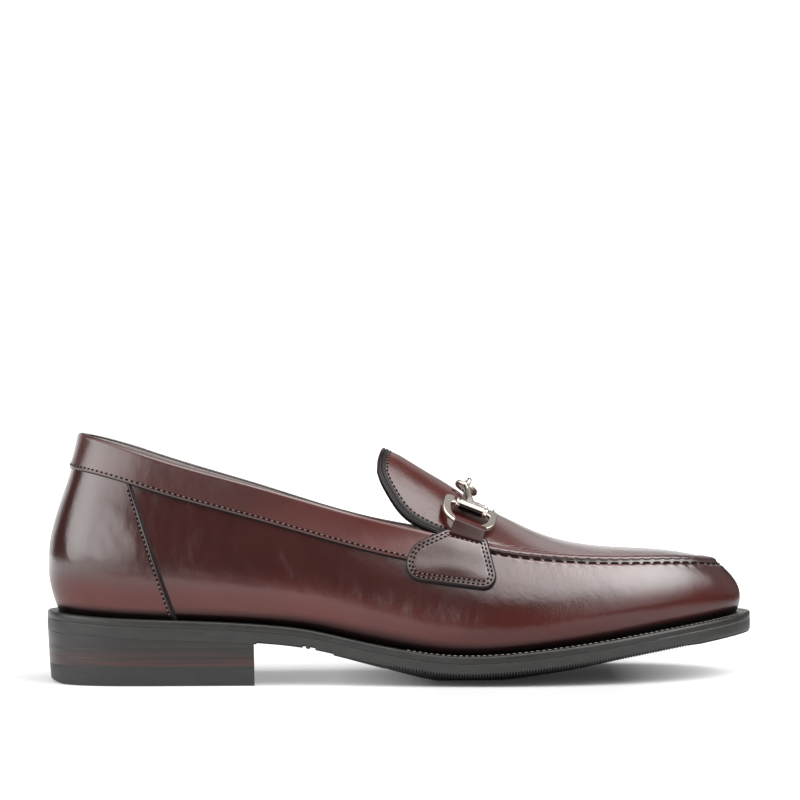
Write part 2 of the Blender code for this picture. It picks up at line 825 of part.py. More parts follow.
def add_bit_bar(name, side):
    """Barrel, tapered bar and eye of one half of the bit, in one piece."""
    along, down, _ = bit_axes(side)
    barrel_at = on_side(BARREL_CENTRE, side)
    back = barrel_at - along * BARREL_LENGTH / 2
    front = barrel_at + along * (BARREL_LENGTH / 2 - BEAD_LENGTH)
    tilt = np.radians(TONGUE_TILT)
    outward = np.array([0.0, side, 0.0])
    if side == LATERAL:
        eye_radius, eye_at = UPRIGHT_EYE_RADIUS, np.array(LINK_CENTRE) + outward * FLAT_EYE_RADIUS
        eye_second = np.array([np.sin(tilt), 0.0, np.cos(tilt)])
    else:
        eye_radius, eye_at = FLAT_EYE_RADIUS, np.array(LINK_CENTRE)
        eye_second = np.array([np.cos(tilt), 0.0, -np.sin(tilt)])
    neck = eye_at + outward * eye_radius
    run = barrel_at - neck
    barrel = solid(name, rod(BARREL_RADIUS, BARREL_RADIUS, BARREL_LENGTH), "bit_metal",
                   rod_frame(back, along, down))
    bead = rod(BEAD_RADIUS, BEAD_RADIUS, BEAD_LENGTH)
    trunk = rod(BAR_NECK_RADIUS, BAR_ROOT_RADIUS, np.linalg.norm(run))
    bore = rod(BARREL_BORE, BARREL_BORE, 2 * BARREL_LENGTH)
    join_solids(barrel, [
        helper(name + "_bead_back", bead.copy(), rod_frame(back, along, down)),
        helper(name + "_bead_front", bead, rod_frame(front, along, down)),
        helper(name + "_trunk", trunk, rod_frame(neck, run, along)),
        helper(name + "_eye", eye_ring(eye_radius), frame_at(eye_at, outward, eye_second)),
    ])
    bore_from = barrel_at - along * BARREL_LENGTH
    join_solids(barrel, [helper(name + "_bore", bore, rod_frame(bore_from, along, down))], "DIFFERENCE")


def rod_frame(origin, axis, side_hint):
    """Placement with its Z along the axis."""
    z = unit(np.array(axis))
    x = unit(np.array(side_hint) - z * z.dot(side_hint))
    y = np.cross(z, x)
    rows = np.stack([x, y, z, np.array(origin) * MM], axis=1)
    return Matrix([*rows.tolist(), [0, 0, 0, 1]])


def flat_plate(name, outlines, thick, finish, matrix):
    """A flat piece from its outline and the hole in it."""
    curve = bpy.data.curves.new(name, "CURVE")
    curve.dimensions = "2D"
    curve.fill_mode = "BOTH"
    curve.extrude = thick / 2 * MM
    for outline in outlines:
        line = curve.splines.new("POLY")
        line.points.add(len(outline) - 1)
        for point, (x, y) in zip(line.points, outline):
            point.co = (x * MM, y * MM, 0.0, 1.0)
        line.use_cyclic_u = True
    curve.materials.append(MATERIALS[finish])
    plate = bpy.data.objects.new(name, curve)
    PARTS.objects.link(plate)
    plate.matrix_world = matrix


def add_ring(name, side):
    """D-ring: a flat plate whose straight side runs through the barrel."""
    along, down, _ = bit_axes(side)
    outlines = [rounded_outline(RING_OUTLINE), rounded_outline(RING_HOLE)]
    flat_plate(name, outlines, RING_THICK, "bit_metal", frame_at(on_side(BARREL_CENTRE, side), along, down))


def add_strap(name, side):
    """Strap loop folded round the D-ring's lower bar, its tail behind the tab's edge."""
    _, down, out = bit_axes(side)
    bar = (RING_OUTLINE["height"].max() + RING_HOLE["height"].max()) / 2
    centre = on_side(BARREL_CENTRE, side) + down * bar
    outlines = [rounded_outline(STRAP_OUTLINE), rounded_outline(STRAP_HOLE)]
    flat_plate(name, outlines, STRAP_WIDTH, "upper_leather", frame_at(centre, down, out))


def main():
    surface_mesh = upper_sheet(FINE, bridged=True)
    surface_mesh.normal_update()
    surface = BVHTree.FromBMesh(surface_mesh)
    surface_mesh.free()
    add_sole()
    add_welt()
    add_insole()
    add_heel()
    add_shell("upper", upper_sheet(), "upper_leather", WALL)
    add_counter()
    add_band()
    add_binding()
    for side, word in ((LATERAL, "lateral"), (MEDIAL, "medial")):
        add_tab("tab_" + word, surface, side)
        add_bit_bar("bit_bar_" + word, side)
        add_ring("d_ring_" + word, side)
        add_strap("strap_loop_" + word, side)


def new_material(name, colour, roughness, metallic):
    material = bpy.data.materials.new(name)
    material.use_nodes = True
    shader = material.node_tree.nodes["Principled BSDF"]
    shader.inputs["Base Color"].default_value = (*colour, 1.0)
    shader.inputs["Roughness"].default_value = roughness
    shader.inputs["Metallic"].default_value = metallic
    return material


def new_collection(name):
    collection = bpy.data.collections.new(name)
    bpy.context.scene.collection.children.link(collection)
    return collection


for old in list(bpy.data.objects):
    bpy.data.objects.remove(old, do_unlink=True)
PARTS = new_collection("buckle_loafer")
CUTTERS = new_collection("cutters")
MATERIALS = {name: new_material(name, *finish) for name, finish in FINISHES.items()}
main()
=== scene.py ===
"""Looks of the loafer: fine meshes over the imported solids, stitches, finishes, light and camera.

Frame: metres, +X to the toe, -Y to the outer (lateral) side, +Z up, floor at Z = 0.
The tables are in millimetres. "along" is the share of a line's length from heel to toe.
"""

import bmesh
import bpy
import numpy as np
from mathutils import Matrix, Vector
from mathutils.bvhtree import BVHTree


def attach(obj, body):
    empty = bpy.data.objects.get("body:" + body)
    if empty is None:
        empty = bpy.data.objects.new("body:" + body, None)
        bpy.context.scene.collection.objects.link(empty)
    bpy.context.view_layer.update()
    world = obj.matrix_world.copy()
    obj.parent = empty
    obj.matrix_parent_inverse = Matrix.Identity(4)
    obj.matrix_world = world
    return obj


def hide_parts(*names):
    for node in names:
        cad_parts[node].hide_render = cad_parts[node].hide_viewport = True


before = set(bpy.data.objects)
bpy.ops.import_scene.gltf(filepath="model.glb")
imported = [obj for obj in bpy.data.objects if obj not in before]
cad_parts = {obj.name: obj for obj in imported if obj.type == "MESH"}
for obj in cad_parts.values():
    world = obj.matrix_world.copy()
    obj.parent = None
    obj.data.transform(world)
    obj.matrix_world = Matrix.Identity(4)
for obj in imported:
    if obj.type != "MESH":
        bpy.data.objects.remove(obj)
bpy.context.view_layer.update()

MM = 0.001
LATERAL, MEDIAL = -1, 1
SIDES = ((LATERAL, "lateral"), (MEDIAL, "medial"))
FULL = 2 * np.pi


def table(names, *rows):
    """A short table: its columns by name."""
    return dict(zip(names.split(), np.array(rows, dtype=float).T))


# Sizes shared with the solids
HEEL_BACK, TOE_TIP = -150.3, 150.3
BREAST_X, BREAST_SLANT = -60.5, 0.975
WELT_THICK, SOLE_THICK, INSOLE_THICK, WELT_REACH = 3.1, 8.3, 2.4, 15.0
WALL = 2.1
BAND_WIDTH = 14.0
COLLAR_BACK_X, APRON_TOE_X, THROAT_X = -135.0, 134.7, 22.3
RIDGE_HEIGHT, RIDGE_HALF_WIDTH = 0.55, 2.2
RIDGE_START_X, RIDGE_FULL_X = 28.0, 36.0
SEAM_PITCH = 4.65
TOE_SWING, TONGUE_TILT = 3.0, 31.0

SOLE_PLAN = table(
    "along lateral medial",
    (0.00, 0.0, 0.0),
    (0.06, 28.0, 28.0),
    (0.15, 33.4, 33.4),
    (0.28, 35.6, 32.8),
    (0.42, 40.0, 30.8),
    (0.54, 46.6, 36.0),
    (0.64, 51.0, 45.6),
    (0.74, 50.4, 51.0),
    (0.84, 43.8, 48.0),
    (0.93, 30.2, 37.0),
    (1.00, -4.0, 4.0),
)
WELT_TOP = table(
    "x height",
    (-150, 30.4),
    (-115, 28.1),
    (-85, 26.9),
    (-56, 25.2),
    (-38, 23.1),
    (-20, 19.2),
    (0, 15.2),
    (16, 12.9),
    (32, 12.4),
    (55, 14.1),
    (82, 17.4),
    (113, 22.0),
    (150, 26.7),
)
SOLE_CROWN = table(
    "x drop",
    (-150, 0.0),
    (-62, 0.0),
    (-45, 0.5),
    (-10, 2.6),
    (16, 4.9),
    (31, 5.1),
    (46, 5.0),
    (80, 4.2),
    (125, 2.6),
    (150, 1.0),
)
FEATHER = table(
    "along inset",
    (0.00, 5.8),
    (0.12, 4.8),
    (0.30, 4.2),
    (0.60, 5.4),
    (1.00, 6.0),
)
TOP_EDGE = table(
    "along reach lateral_height medial_height",
    (0.000, 0.0, 105.3, 105.3),
    (0.079, 23.6, 99.0, 99.0),
    (0.155, 26.7, 92.3, 92.1),
    (0.287, 29.6, 82.3, 80.9),
    (0.376, 31.0, 75.2, 73.0),
    (0.464, 32.3, 68.5, 66.4),
    (0.553, 33.4, 62.6, 61.6),
    (0.644, 35.4, 56.2, 56.2),
    (0.720, 36.0, 53.2, 53.2),
    (0.811, 34.6, 51.5, 51.0),
    (0.880, 31.2, 51.2, 50.0),
    (0.932, 26.2, 50.9, 49.4),
    (0.968, 19.6, 50.0, 48.8),
    (1.000, 0.0, 48.4, 48.4),
)
BELLY = table(
    "along lateral medial rise fall",
    (0.00, 7.3, 7.3, 1.15, 2.10),
    (0.15, 4.9, 4.9, 1.05, 2.00),
    (0.35, 4.8, 6.4, 1.00, 1.90),
    (0.50, 5.1, 7.4, 0.95, 1.60),
    (0.62, 5.8, 7.0, 0.88, 1.38),
    (0.80, 6.7, 6.8, 1.00, 1.12),
    (0.92, 6.1, 6.2, 1.02, 1.02),
    (1.00, 5.7, 5.8, 1.02, 0.98),
)
APRON = table(
    "along rise tilt",
    (0.583, 17.1, 31.0),
    (0.644, 13.2, 28.0),
    (0.720, 7.3, 15.0),
    (0.811, 3.8, 5.0),
    (0.880, 3.2, 0.0),
    (0.932, 2.4, 0.0),
    (0.968, 1.4, 0.0),
    (1.000, 0.0, 0.0),
)
TONGUE = table(
    "x reach height rise",
    (15.8, 31.6, 62.7, 19.0),
    (9.2, 30.4, 65.7, 20.1),
    (3.6, 28.8, 69.3, 19.9),
    (-0.6, 26.9, 73.9, 18.2),
    (-3.8, 24.5, 79.1, 15.5),
    (-7.0, 21.2, 85.3, 11.8),
    (-8.7, 16.6, 90.9, 7.1),
)
LAST_ROW = len(TONGUE["x"]) - 1
# Heel lifts: name, bottom, top (None: under the sole), inset below and above, slot
HEEL_LIFTS = [
    ("heel_top_piece", 0.0, 8.05, 1.3, 0.8, "heel_rubber"),
    ("heel_lift_lower", 8.06, 12.03, 0.8, 0.6, "heel_leather"),
    ("heel_lift_middle", 12.04, 15.73, 0.6, 0.4, "heel_leather"),
    ("heel_lift_upper", 15.74, None, 0.4, 0.15, "heel_leather"),
]
TAB_CORNERS = table(
    "x height radius",
    (0.4, 43.9, 7.0),
    (42.0, 38.4, 5.5),
    (37.0, 59.6, 1.5),
    (20.6, 64.0, 1.5),
    (5.4, 57.6, 10.0),
)
COUNTER_FRONT = ((-112.3, 84.0), (-93.4, 28.0))
BAND_FRONT = ((15.5, 63.2), (3.5, 51.4))
BAND_SEAM_FRONT = ((13.0, 63.2), (2.0, 51.4))

# Snaffle bit
BARREL_CENTRE, BARREL_SLOPE = (30.6, -22.0, 72.2), 22.0
BARREL_LENGTH, BARREL_RADIUS, BARREL_BORE = 14.0, 2.3, 1.6
BEAD_RADIUS, BEAD_LENGTH = 2.6, 1.2
LINK_CENTRE = (29.2, 0.0, 80.1)
EYE_WIRE, FLAT_EYE_RADIUS, UPRIGHT_EYE_RADIUS, LINK_TILT = 1.0, 4.4, 2.45, 20.0
RING_THICK, STRAP_WIDTH, STRAP_SHIFT, STRAP_TWIST = 1.7, 13.8, 1.8, 0.09
RING_OUTLINE = table(
    "x height radius",
    (-7.8, -1.0, 0.2),
    (-7.8, -3.2, 0.8),
    (-12.2, -3.2, 2.4),
    (-11.5, 12.9, 9.2),
    (11.3, 12.9, 9.2),
    (12.0, -3.2, 2.4),
    (7.8, -3.2, 0.8),
    (7.8, -1.0, 0.2),
)
RING_HOLE = table(
    "x height radius",
    (-8.5, 1.0, 1.2),
    (-8.1, 10.7, 6.4),
    (8.1, 10.7, 6.4),
    (8.5, 1.0, 1.2),
)
STRAP_OUTLINE = table(
    "x height radius",
    (-2.1, -1.7, 1.6),
    (-2.1, 1.75, 1.7),
    (1.6, 1.75, 2.2),
    (6.2, -0.8, 0.4),
    (5.8, -2.7, 0.3),
)
STRAP_HOLE = table(
    "x height radius",
    (-1.15, -0.9, 0.4),
    (-1.15, 0.9, 0.4),
    (1.15, 0.9, 0.4),
    (1.15, -0.9, 0.4),
)

# Creases of the outer quarter: ends of each trough seen from the side, depth and half width
CREASES = table(
    "x0 height0 x1 height1 depth half_width",
    (-57.0, 58.5, -50.0, 50.5, 0.15, 1.1),
    (-54.0, 59.5, -46.5, 48.0, 0.12, 1.0),
    (-51.0, 53.0, -45.0, 44.5, 0.13, 1.0),
    (-127.0, 70.0, -114.5, 44.0, 0.24, 3.4),
    (-121.5, 72.0, -110.5, 49.0, 0.16, 2.8),
)

# Sewn rows: pitch, one needle hole and one run of thread (length, width, height), lift of the thread
SEWN = {
    "tab_seam": (2.05, (1.2, 0.95, 0.5), (0.95, 0.42, 0.4), 0.06),
    "band_seam": (2.4, (1.35, 0.85, 0.5), (1.1, 0.45, 0.45), 0.05),
    "counter_seam": (2.1, (1.25, 0.85, 0.5), (0.95, 0.42, 0.4), 0.05),
    "binding_seam": (2.1, (1.3, 0.85, 0.5), (0.95, 0.42, 0.4), 0.05),
}


def spline(knots, values, period=0.0):
    """Smooth curve through the knots, in cubic pieces; a closed one repeats after its period."""
    knots, values = np.asarray(knots, float), np.asarray(values, float)
    if period:
        knots = np.concatenate([knots - period, knots, knots + period])
        values = np.tile(values, 3)
    count, step = len(knots), np.diff(knots)
    slope = np.diff(values) / step
    system, right = np.eye(count), np.zeros(count)
    for i in range(1, count - 1):
        system[i, i - 1:i + 2] = step[i - 1], 2 * (step[i - 1] + step[i]), step[i]
        right[i] = 6 * (slope[i] - slope[i - 1])
    bend = np.linalg.solve(system, right)

    def at(where):
        where = np.mod(where, period) if period else np.asarray(where, float)
        i = np.clip(np.searchsorted(knots, where) - 1, 0, count - 2)
        after = (where - knots[i]) / step[i]
        before = 1 - after
        curve = (before ** 3 - before) * bend[i] + (after ** 3 - after) * bend[i + 1]
        return before * values[i] + after * values[i + 1] + curve * step[i] ** 2 / 6

    return at


def turn_of(along):
    """Angle around an outline, from the heel, at a share of its length."""
    return np.arccos(1 - 2 * np.asarray(along))


def sole_turn(x):
    return float(turn_of((x - HEEL_BACK) / (TOE_TIP - HEEL_BACK)))


def top_turn(x):
    return float(turn_of((x - COLLAR_BACK_X) / (APRON_TOE_X - COLLAR_BACK_X)))


def around(rows, lateral, medial):
    """Closed curve of a table's column around the shoe: lateral side out, medial side back."""
    turn = turn_of(rows["along"])
    knots = np.concatenate([turn, FULL - turn[-2:0:-1]])
    return spline(knots, np.concatenate([lateral, medial[-2:0:-1]]), FULL)


def even_around(rows, column):
    return around(rows, rows[column], rows[column])


sole_y = around(SOLE_PLAN, -SOLE_PLAN["lateral"], SOLE_PLAN["medial"])
welt_top = spline(WELT_TOP["x"], WELT_TOP["height"])
sole_crown = spline(SOLE_CROWN["x"], SOLE_CROWN["drop"])
feather_inset = even_around(FEATHER, "inset")
top_swing = TOE_SWING * TOP_EDGE["along"] ** 6
top_y = around(TOP_EDGE, top_swing - TOP_EDGE["reach"], top_swing + TOP_EDGE["reach"])
top_height = around(TOP_EDGE, TOP_EDGE["lateral_height"], TOP_EDGE["medial_height"])
belly = around(BELLY, BELLY["lateral"], BELLY["medial"])
belly_rise = even_around(BELLY, "rise")
belly_fall = even_around(BELLY, "fall")
apron_rise = spline(turn_of(APRON["along"]), APRON["rise"])
apron_tilt = spline(turn_of(APRON["along"]), np.radians(APRON["tilt"]))
tongue_edge = {key: spline(np.arange(len(TONGUE["x"])), TONGUE[key]) for key in TONGUE}
throat_turn = top_turn(THROAT_X)


def vec(*parts):
    return np.stack(np.broadcast_arrays(*parts), axis=-1).astype(float)


def over(values):
    return np.asarray(values, float)[..., None]


def length_of(vector):
    return np.linalg.norm(vector, axis=-1)


def running_length(points):
    """Length of a line from its start to each of its points."""
    return np.concatenate([[0], np.cumsum(length_of(np.diff(points, axis=0)))])


def unit(vector):
    return vector / np.maximum(over(length_of(vector)), 1e-12)


def smooth_step(value, low, high):
    share = np.clip((value - low) / (high - low), 0.0, 1.0)
    return share * share * (3 - 2 * share)


def sole_normal(turn):
    """Direction straight out of the sole's edge, in plan."""
    small = 1e-3
    along = (TOE_TIP - HEEL_BACK) * np.sin(turn) / 2
    across = (sole_y(turn + small) - sole_y(turn - small)) / (2 * small)
    return unit(vec(across, -along, 0.0))


def sole_edge(turn, inset=0.0):
    """Point of the sole's edge, moved in along its normal."""
    x = HEEL_BACK + (TOE_TIP - HEEL_BACK) * (1 - np.cos(turn)) / 2
    return vec(x, sole_y(turn), 0.0) - over(inset) * sole_normal(turn)


def edge_line(turn, inset, depth):
    """Line along the sole's edge at an inset, and at a depth below the welt's top."""
    line = sole_edge(turn, inset)
    line[..., 2] = welt_top(line[..., 0]) - depth
    return line


def feather(turn):
    """Foot of the upper, pressed onto the welt."""
    return edge_line(turn, feather_inset(turn), 0.1)


def top_edge(turn):
    """Top of the wall: collar and apron seam."""
    x = COLLAR_BACK_X + (APRON_TOE_X - COLLAR_BACK_X) * (1 - np.cos(turn)) / 2
    return vec(x, top_y(turn), top_height(turn))


def ridge(distance, x):
    """Height of the raised apron seam at a distance from its line, with a groove along its foot."""
    share = np.minimum(np.abs(distance) / RIDGE_HALF_WIDTH, 1.0)
    start = smooth_step(x, RIDGE_START_X, RIDGE_FULL_X)
    groove = 0.28 * np.exp(-((np.abs(distance) - RIDGE_HALF_WIDTH) / 0.5) ** 2)
    return start * (RIDGE_HEIGHT * np.cos(share * np.pi / 2) ** 2 - groove)


def seam_up(turn):
    """Direction in which the apron seam stands up."""
    return unit(0.6 * sole_normal(turn) + np.array([0.0, 0.0, 0.8]))


def wall_height(turn):
    return length_of(top_edge(turn) - feather(turn))


def wall(turn, level):
    """Outer face of the upper's wall, from the feather line (0) to the top edge (1)."""
    turn, level = np.broadcast_arrays(np.asarray(turn, float), np.asarray(level, float))
    foot, top = feather(turn), top_edge(turn)
    rise, fall = belly_rise(turn), belly_fall(turn)
    peak = rise / (rise + fall)
    swell = level ** rise * (1 - level) ** fall / (peak ** rise * (1 - peak) ** fall)
    point = foot + (top - foot) * over(level) + over(belly(turn) * swell) * sole_normal(turn)
    return point + over(ridge((1 - level) * length_of(top - foot), point[..., 0])) * seam_up(turn)


def wall_normal(turn, level):
    small = 0.01
    low, high = np.maximum(level - small, 0.0), np.minimum(level + small, 1.0)
    along = wall(turn + small, level) - wall(turn - small, level)
    return unit(np.cross(along, wall(turn, high) - wall(turn, low)))


def arch(lateral, medial, across, rise, tilt):
    """Points of an arched row between two edges; across runs from -1 to 1."""
    up = vec(np.sin(tilt), 0.0, np.cos(tilt))
    bow = over(rise * (1 - np.abs(across) ** 2.1))
    return (lateral + medial) / 2 + (medial - lateral) / 2 * over(across) + up * bow


def apron(turn, across):
    """Outer face of the apron between the lateral and medial seam."""
    turn, across = np.broadcast_arrays(np.asarray(turn, float), np.asarray(across, float))
    lateral, medial = top_edge(turn), top_edge(FULL - turn)
    point = arch(lateral, medial, across, apron_rise(turn), apron_tilt(turn))
    reach = length_of(medial - lateral) / 2
    ahead = np.maximum(APRON_TOE_X - point[..., 0] - reach * 0.1, 0.0)
    distance = np.minimum(reach * (1 - np.abs(across)), ahead)
    side_turn = np.where(across < 0, turn, FULL - turn)
    return point + over(ridge(distance, point[..., 0])) * seam_up(side_turn)


def tongue(row, across):
    """Outer face of the tongue: rows count back from the throat, -1 being the throat itself."""
    row, across = np.broadcast_arrays(np.asarray(row, float), np.asarray(across, float))
    edge = {key: curve(np.maximum(row, 0.0)) for key, curve in tongue_edge.items()}
    blend = np.maximum(-row, 0.0)
    lateral = vec(edge["x"], -edge["reach"], edge["height"])
    medial = vec(edge["x"], edge["reach"], edge["height"])
    lateral = lateral + (top_edge(throat_turn) - lateral) * over(blend)
    medial = medial + (top_edge(FULL - throat_turn) - medial) * over(blend)
    rise = edge["rise"] + (apron_rise(throat_turn) - edge["rise"]) * blend
    return arch(lateral, medial, across, rise, np.radians(TONGUE_TILT))


def tongue_face(run, across):
    """The tongue with its tip rounded: run goes from the throat (0) to the tip (1)."""
    run, across = np.broadcast_arrays(np.asarray(run, float), np.asarray(across, float))
    row = -1 + (LAST_ROW + 1) * run - 0.35 * run ** 6 * np.abs(across) ** 8
    tip = smooth_step(row, LAST_ROW - 1.6, LAST_ROW + 0.4) * 1.9 * (1 - np.abs(across) ** 3)
    return tongue(row, across) + over(tip) * np.array([-0.94, 0.0, 0.34])


def tongue_normal(run, across):
    small, aside = 0.003, 0.02
    behind, ahead = np.minimum(run + small, 1.0), np.maximum(run - small, 0.0)
    right, left = np.minimum(across + aside, 1.0), np.maximum(across - aside, -1.0)
    back = tongue_face(behind, across) - tongue_face(ahead, across)
    return unit(np.cross(tongue_face(run, right) - tongue_face(run, left), back))


# Meshes


def grid_faces(rows, columns, closed=False, looped=False, start=0):
    """Quads of a grid, row by row; closed joins its last column to its first, looped its last row."""
    last_row, last_column = rows if looped else rows - 1, columns if closed else columns - 1
    i, j = np.meshgrid(np.arange(last_row), np.arange(last_column), indexing="ij")
    k, m = (j + 1) % columns, (i + 1) % rows
    quads = np.stack([i * columns + j, i * columns + k, m * columns + k, m * columns + j], axis=-1)
    return (quads.reshape(-1, 4) + start).tolist()


def capped_faces(rows, columns):
    """Faces of a tube of rings whose two ends are closed."""
    last = (rows - 1) * columns
    caps = [list(range(columns))[::-1], list(range(last, last + columns))]
    return grid_faces(rows, columns, closed=True) + caps


def edit_mesh(mesh, change):
    """Change a mesh by a function of its editable form."""
    bm = bmesh.new()
    bm.from_mesh(mesh)
    change(bm)
    bm.to_mesh(mesh)
    bm.free()
    return mesh


def new_mesh(points, faces, merge=0.0):
    mesh = bpy.data.meshes.new("piece")
    mesh.from_pydata((np.asarray(points).reshape(-1, 3) * MM).tolist(), [], faces)
    if merge:
        edit_mesh(mesh, lambda bm: bmesh.ops.remove_doubles(bm, verts=bm.verts, dist=merge * MM))
    mesh.validate()
    return mesh


def outward(mesh):
    """Turn a closed mesh's faces outwards."""
    return edit_mesh(mesh, lambda bm: bmesh.ops.recalc_face_normals(bm, faces=bm.faces))


def joined_mesh(shapes):
    """One mesh of several shapes, each its points and faces."""
    points, faces, start = [], [], 0
    for shape_points, shape_faces in shapes:
        points.append(np.asarray(shape_points).reshape(-1, 3))
        faces += [[start + i for i in face] for face in shape_faces]
        start += len(points[-1])
    return new_mesh(np.concatenate(points), faces)


def add_piece(name, mesh, finishes, nodes=(), sharp=50.0):
    """A piece of the shoe on its body, with its finishes and the solids that it stands for."""
    mesh.name = name
    mesh.shade_smooth()
    mesh.set_sharp_from_angle(angle=np.radians(sharp))
    for finish in finishes:
        mesh.materials.append(finish)
    piece = bpy.data.objects.new(name, mesh)
    bpy.context.scene.collection.objects.link(piece)
    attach(piece, "root")
    if nodes:
        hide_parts(*nodes)
    return piece


def thicken(piece, thickness):
    """Give a sheet its thickness, inwards."""
    shell = piece.modifiers.new("thick", "SOLIDIFY")
    shell.thickness, shell.offset = thickness * MM, -1
    return shell


def vertex_values(piece, name):
    """Places or normals of a piece's points."""
    values = np.empty(len(piece.data.vertices) * 3)
    piece.data.vertices.foreach_get(name, values)
    return values.reshape(-1, 3)


def tube(centres, first, second, profile):
    """Solid swept along centres: profile points are given along two directions at each centre."""
    rings = [centres + a * first + b * second for a, b in profile]
    return np.stack(rings, axis=1), capped_faces(len(centres), len(profile))


def resample(points, pitch, shift=0.0):
    """Places along a line at an even pitch, as places in its list of points."""
    run = running_length(points)
    count = max(int(round(run[-1] / pitch)), 2)
    return np.interp((np.arange(count) + 0.5 + shift) * run[-1] / count, run, np.arange(len(points)))


def blend_at(values, places):
    low = np.clip(np.floor(places).astype(int), 0, len(values) - 2)
    share = over(places - low)
    return values[low] * (1 - share) + values[low + 1] * share


# One stitch: places along its half length and its fatness there
STITCH_RINGS, STITCH_FAT = (-1.0, -0.75, -0.3, 0.3, 0.75, 1.0), (0.25, 0.78, 1.0, 1.0, 0.78, 0.25)
STITCH_SIDES = 6


def stitch_mesh(rows, pitch, size, shift=0.0):
    """Joined stitches along rows of (points, normals): size is the length, width and height of one."""
    angle = np.linspace(0, FULL, STITCH_SIDES, endpoint=False)
    long = np.repeat(STITCH_RINGS, STITCH_SIDES)
    wide, high = (np.outer(STITCH_FAT, wave(angle)).ravel() for wave in (np.cos, np.sin))
    template = np.stack([long, wide, high], axis=1) * np.array(size) / 2
    faces = capped_faces(len(STITCH_RINGS), STITCH_SIDES)
    shapes = []
    for line, normals in rows:
        places = resample(line, pitch, shift)
        at, up = blend_at(line, places), unit(blend_at(normals, places))
        after, before = np.minimum(places + 0.2, len(line) - 1), np.maximum(places - 0.2, 0)
        ahead = blend_at(line, after) - blend_at(line, before)
        ahead = unit(ahead - up * over((ahead * up).sum(-1)))
        axes = np.stack([ahead, np.cross(up, ahead), up], axis=1)
        shapes += [(spot + template @ frame_axes, faces) for spot, frame_axes in zip(at, axes)]
    return joined_mesh(shapes)


def sewn_rows(name, rows):
    """Rows of sunk needle holes painted near-black as shade, and between them short runs of glossy thread.
    """
    pitch, hole_size, thread_size, lift = SEWN[name]
    add_piece(name + "_holes", stitch_mesh(rows, pitch, hole_size), [HOLE_SHADE])
    raised = [(line + lift * normals, normals) for line, normals in rows]
    add_piece(name + "_thread", stitch_mesh(raised, pitch, thread_size, 0.5), [THREAD])


# Finishes


class Nodes:
    """Short form for building the nodes of a material or of the world."""

    def __init__(self, owner):
        owner.use_nodes = True
        self.owner, self.tree = owner, owner.node_tree
        nodes = self.tree.nodes
        self.shader = nodes.get("Principled BSDF") or nodes["Background"]
        coordinates = nodes.new("ShaderNodeTexCoord").outputs
        self.place, self.way = coordinates["Object"], coordinates["Generated"]

    def put(self, socket, value):
        if isinstance(value, bpy.types.NodeSocket):
            self.tree.links.new(value, socket)
        else:
            socket.default_value = value

    def add(self, kind, *values, **inputs):
        """A node with its inputs, in order or by name."""
        node = self.tree.nodes.new(kind)
        for socket, value in zip(node.inputs, values):
            self.put(socket, value)
        for key, value in inputs.items():
            self.put(node.inputs[key.replace("_", " ")], value)
        return node

    def set(self, **inputs):
        for key, value in inputs.items():
            self.put(self.shader.inputs[key.replace("_", " ")], value)

    def noise(self, scale, detail=2.0, stretch=None, rough=0.5):
        place = self.place
        if stretch:
            place = self.add("ShaderNodeMapping", Vector=place, Scale=stretch).outputs["Vector"]
        node = self.add("ShaderNodeTexNoise", Vector=place, Scale=scale, Detail=detail, Roughness=rough)
        return node.outputs["Fac"]

    def ramp(self, value, *stops):
        node = self.add("ShaderNodeValToRGB", value)
        points = node.color_ramp.elements
        for point, (place, colour) in zip(points, stops):
            point.position = place
            point.color = (*colour, 1.0)
        return node.outputs["Color"]

    def mix(self, share, first, second, mode="MIX"):
        node = self.add("ShaderNodeMix", share)
        node.data_type, node.blend_type = "RGBA", mode
        for socket, value in ((node.inputs[6], first), (node.inputs[7], second)):
            self.put(socket, (*value, 1.0) if isinstance(value, tuple) else value)
        return node.outputs[2]

    def span(self, value, low, high, to_low=0.0, to_high=1.0, smooth=False):
        node = self.add("ShaderNodeMapRange", value, low, high, to_low, to_high)
        if smooth:
            node.interpolation_type = "SMOOTHSTEP"
        return node.outputs["Result"]

    def math(self, kind, *values):
        node = self.add("ShaderNodeMath", *values)
        node.operation = kind
        return node.outputs[0]

    def measure(self, kind, *vectors):
        """A number worked out from vectors."""
        node = self.add("ShaderNodeVectorMath", *vectors)
        node.operation = kind
        return node.outputs["Value"]

    def split(self, vector):
        return self.add("ShaderNodeSeparateXYZ", vector).outputs

    def bump(self, height, strength, distance, **normal):
        node = self.add("ShaderNodeBump", Height=height, Strength=strength, Distance=distance, **normal)
        return node.outputs["Normal"]

    def attribute(self, name):
        node = self.add("ShaderNodeAttribute")
        node.attribute_name = name
        return node.outputs["Fac"]


def new_finish(name):
    return Nodes(bpy.data.materials.new(name))


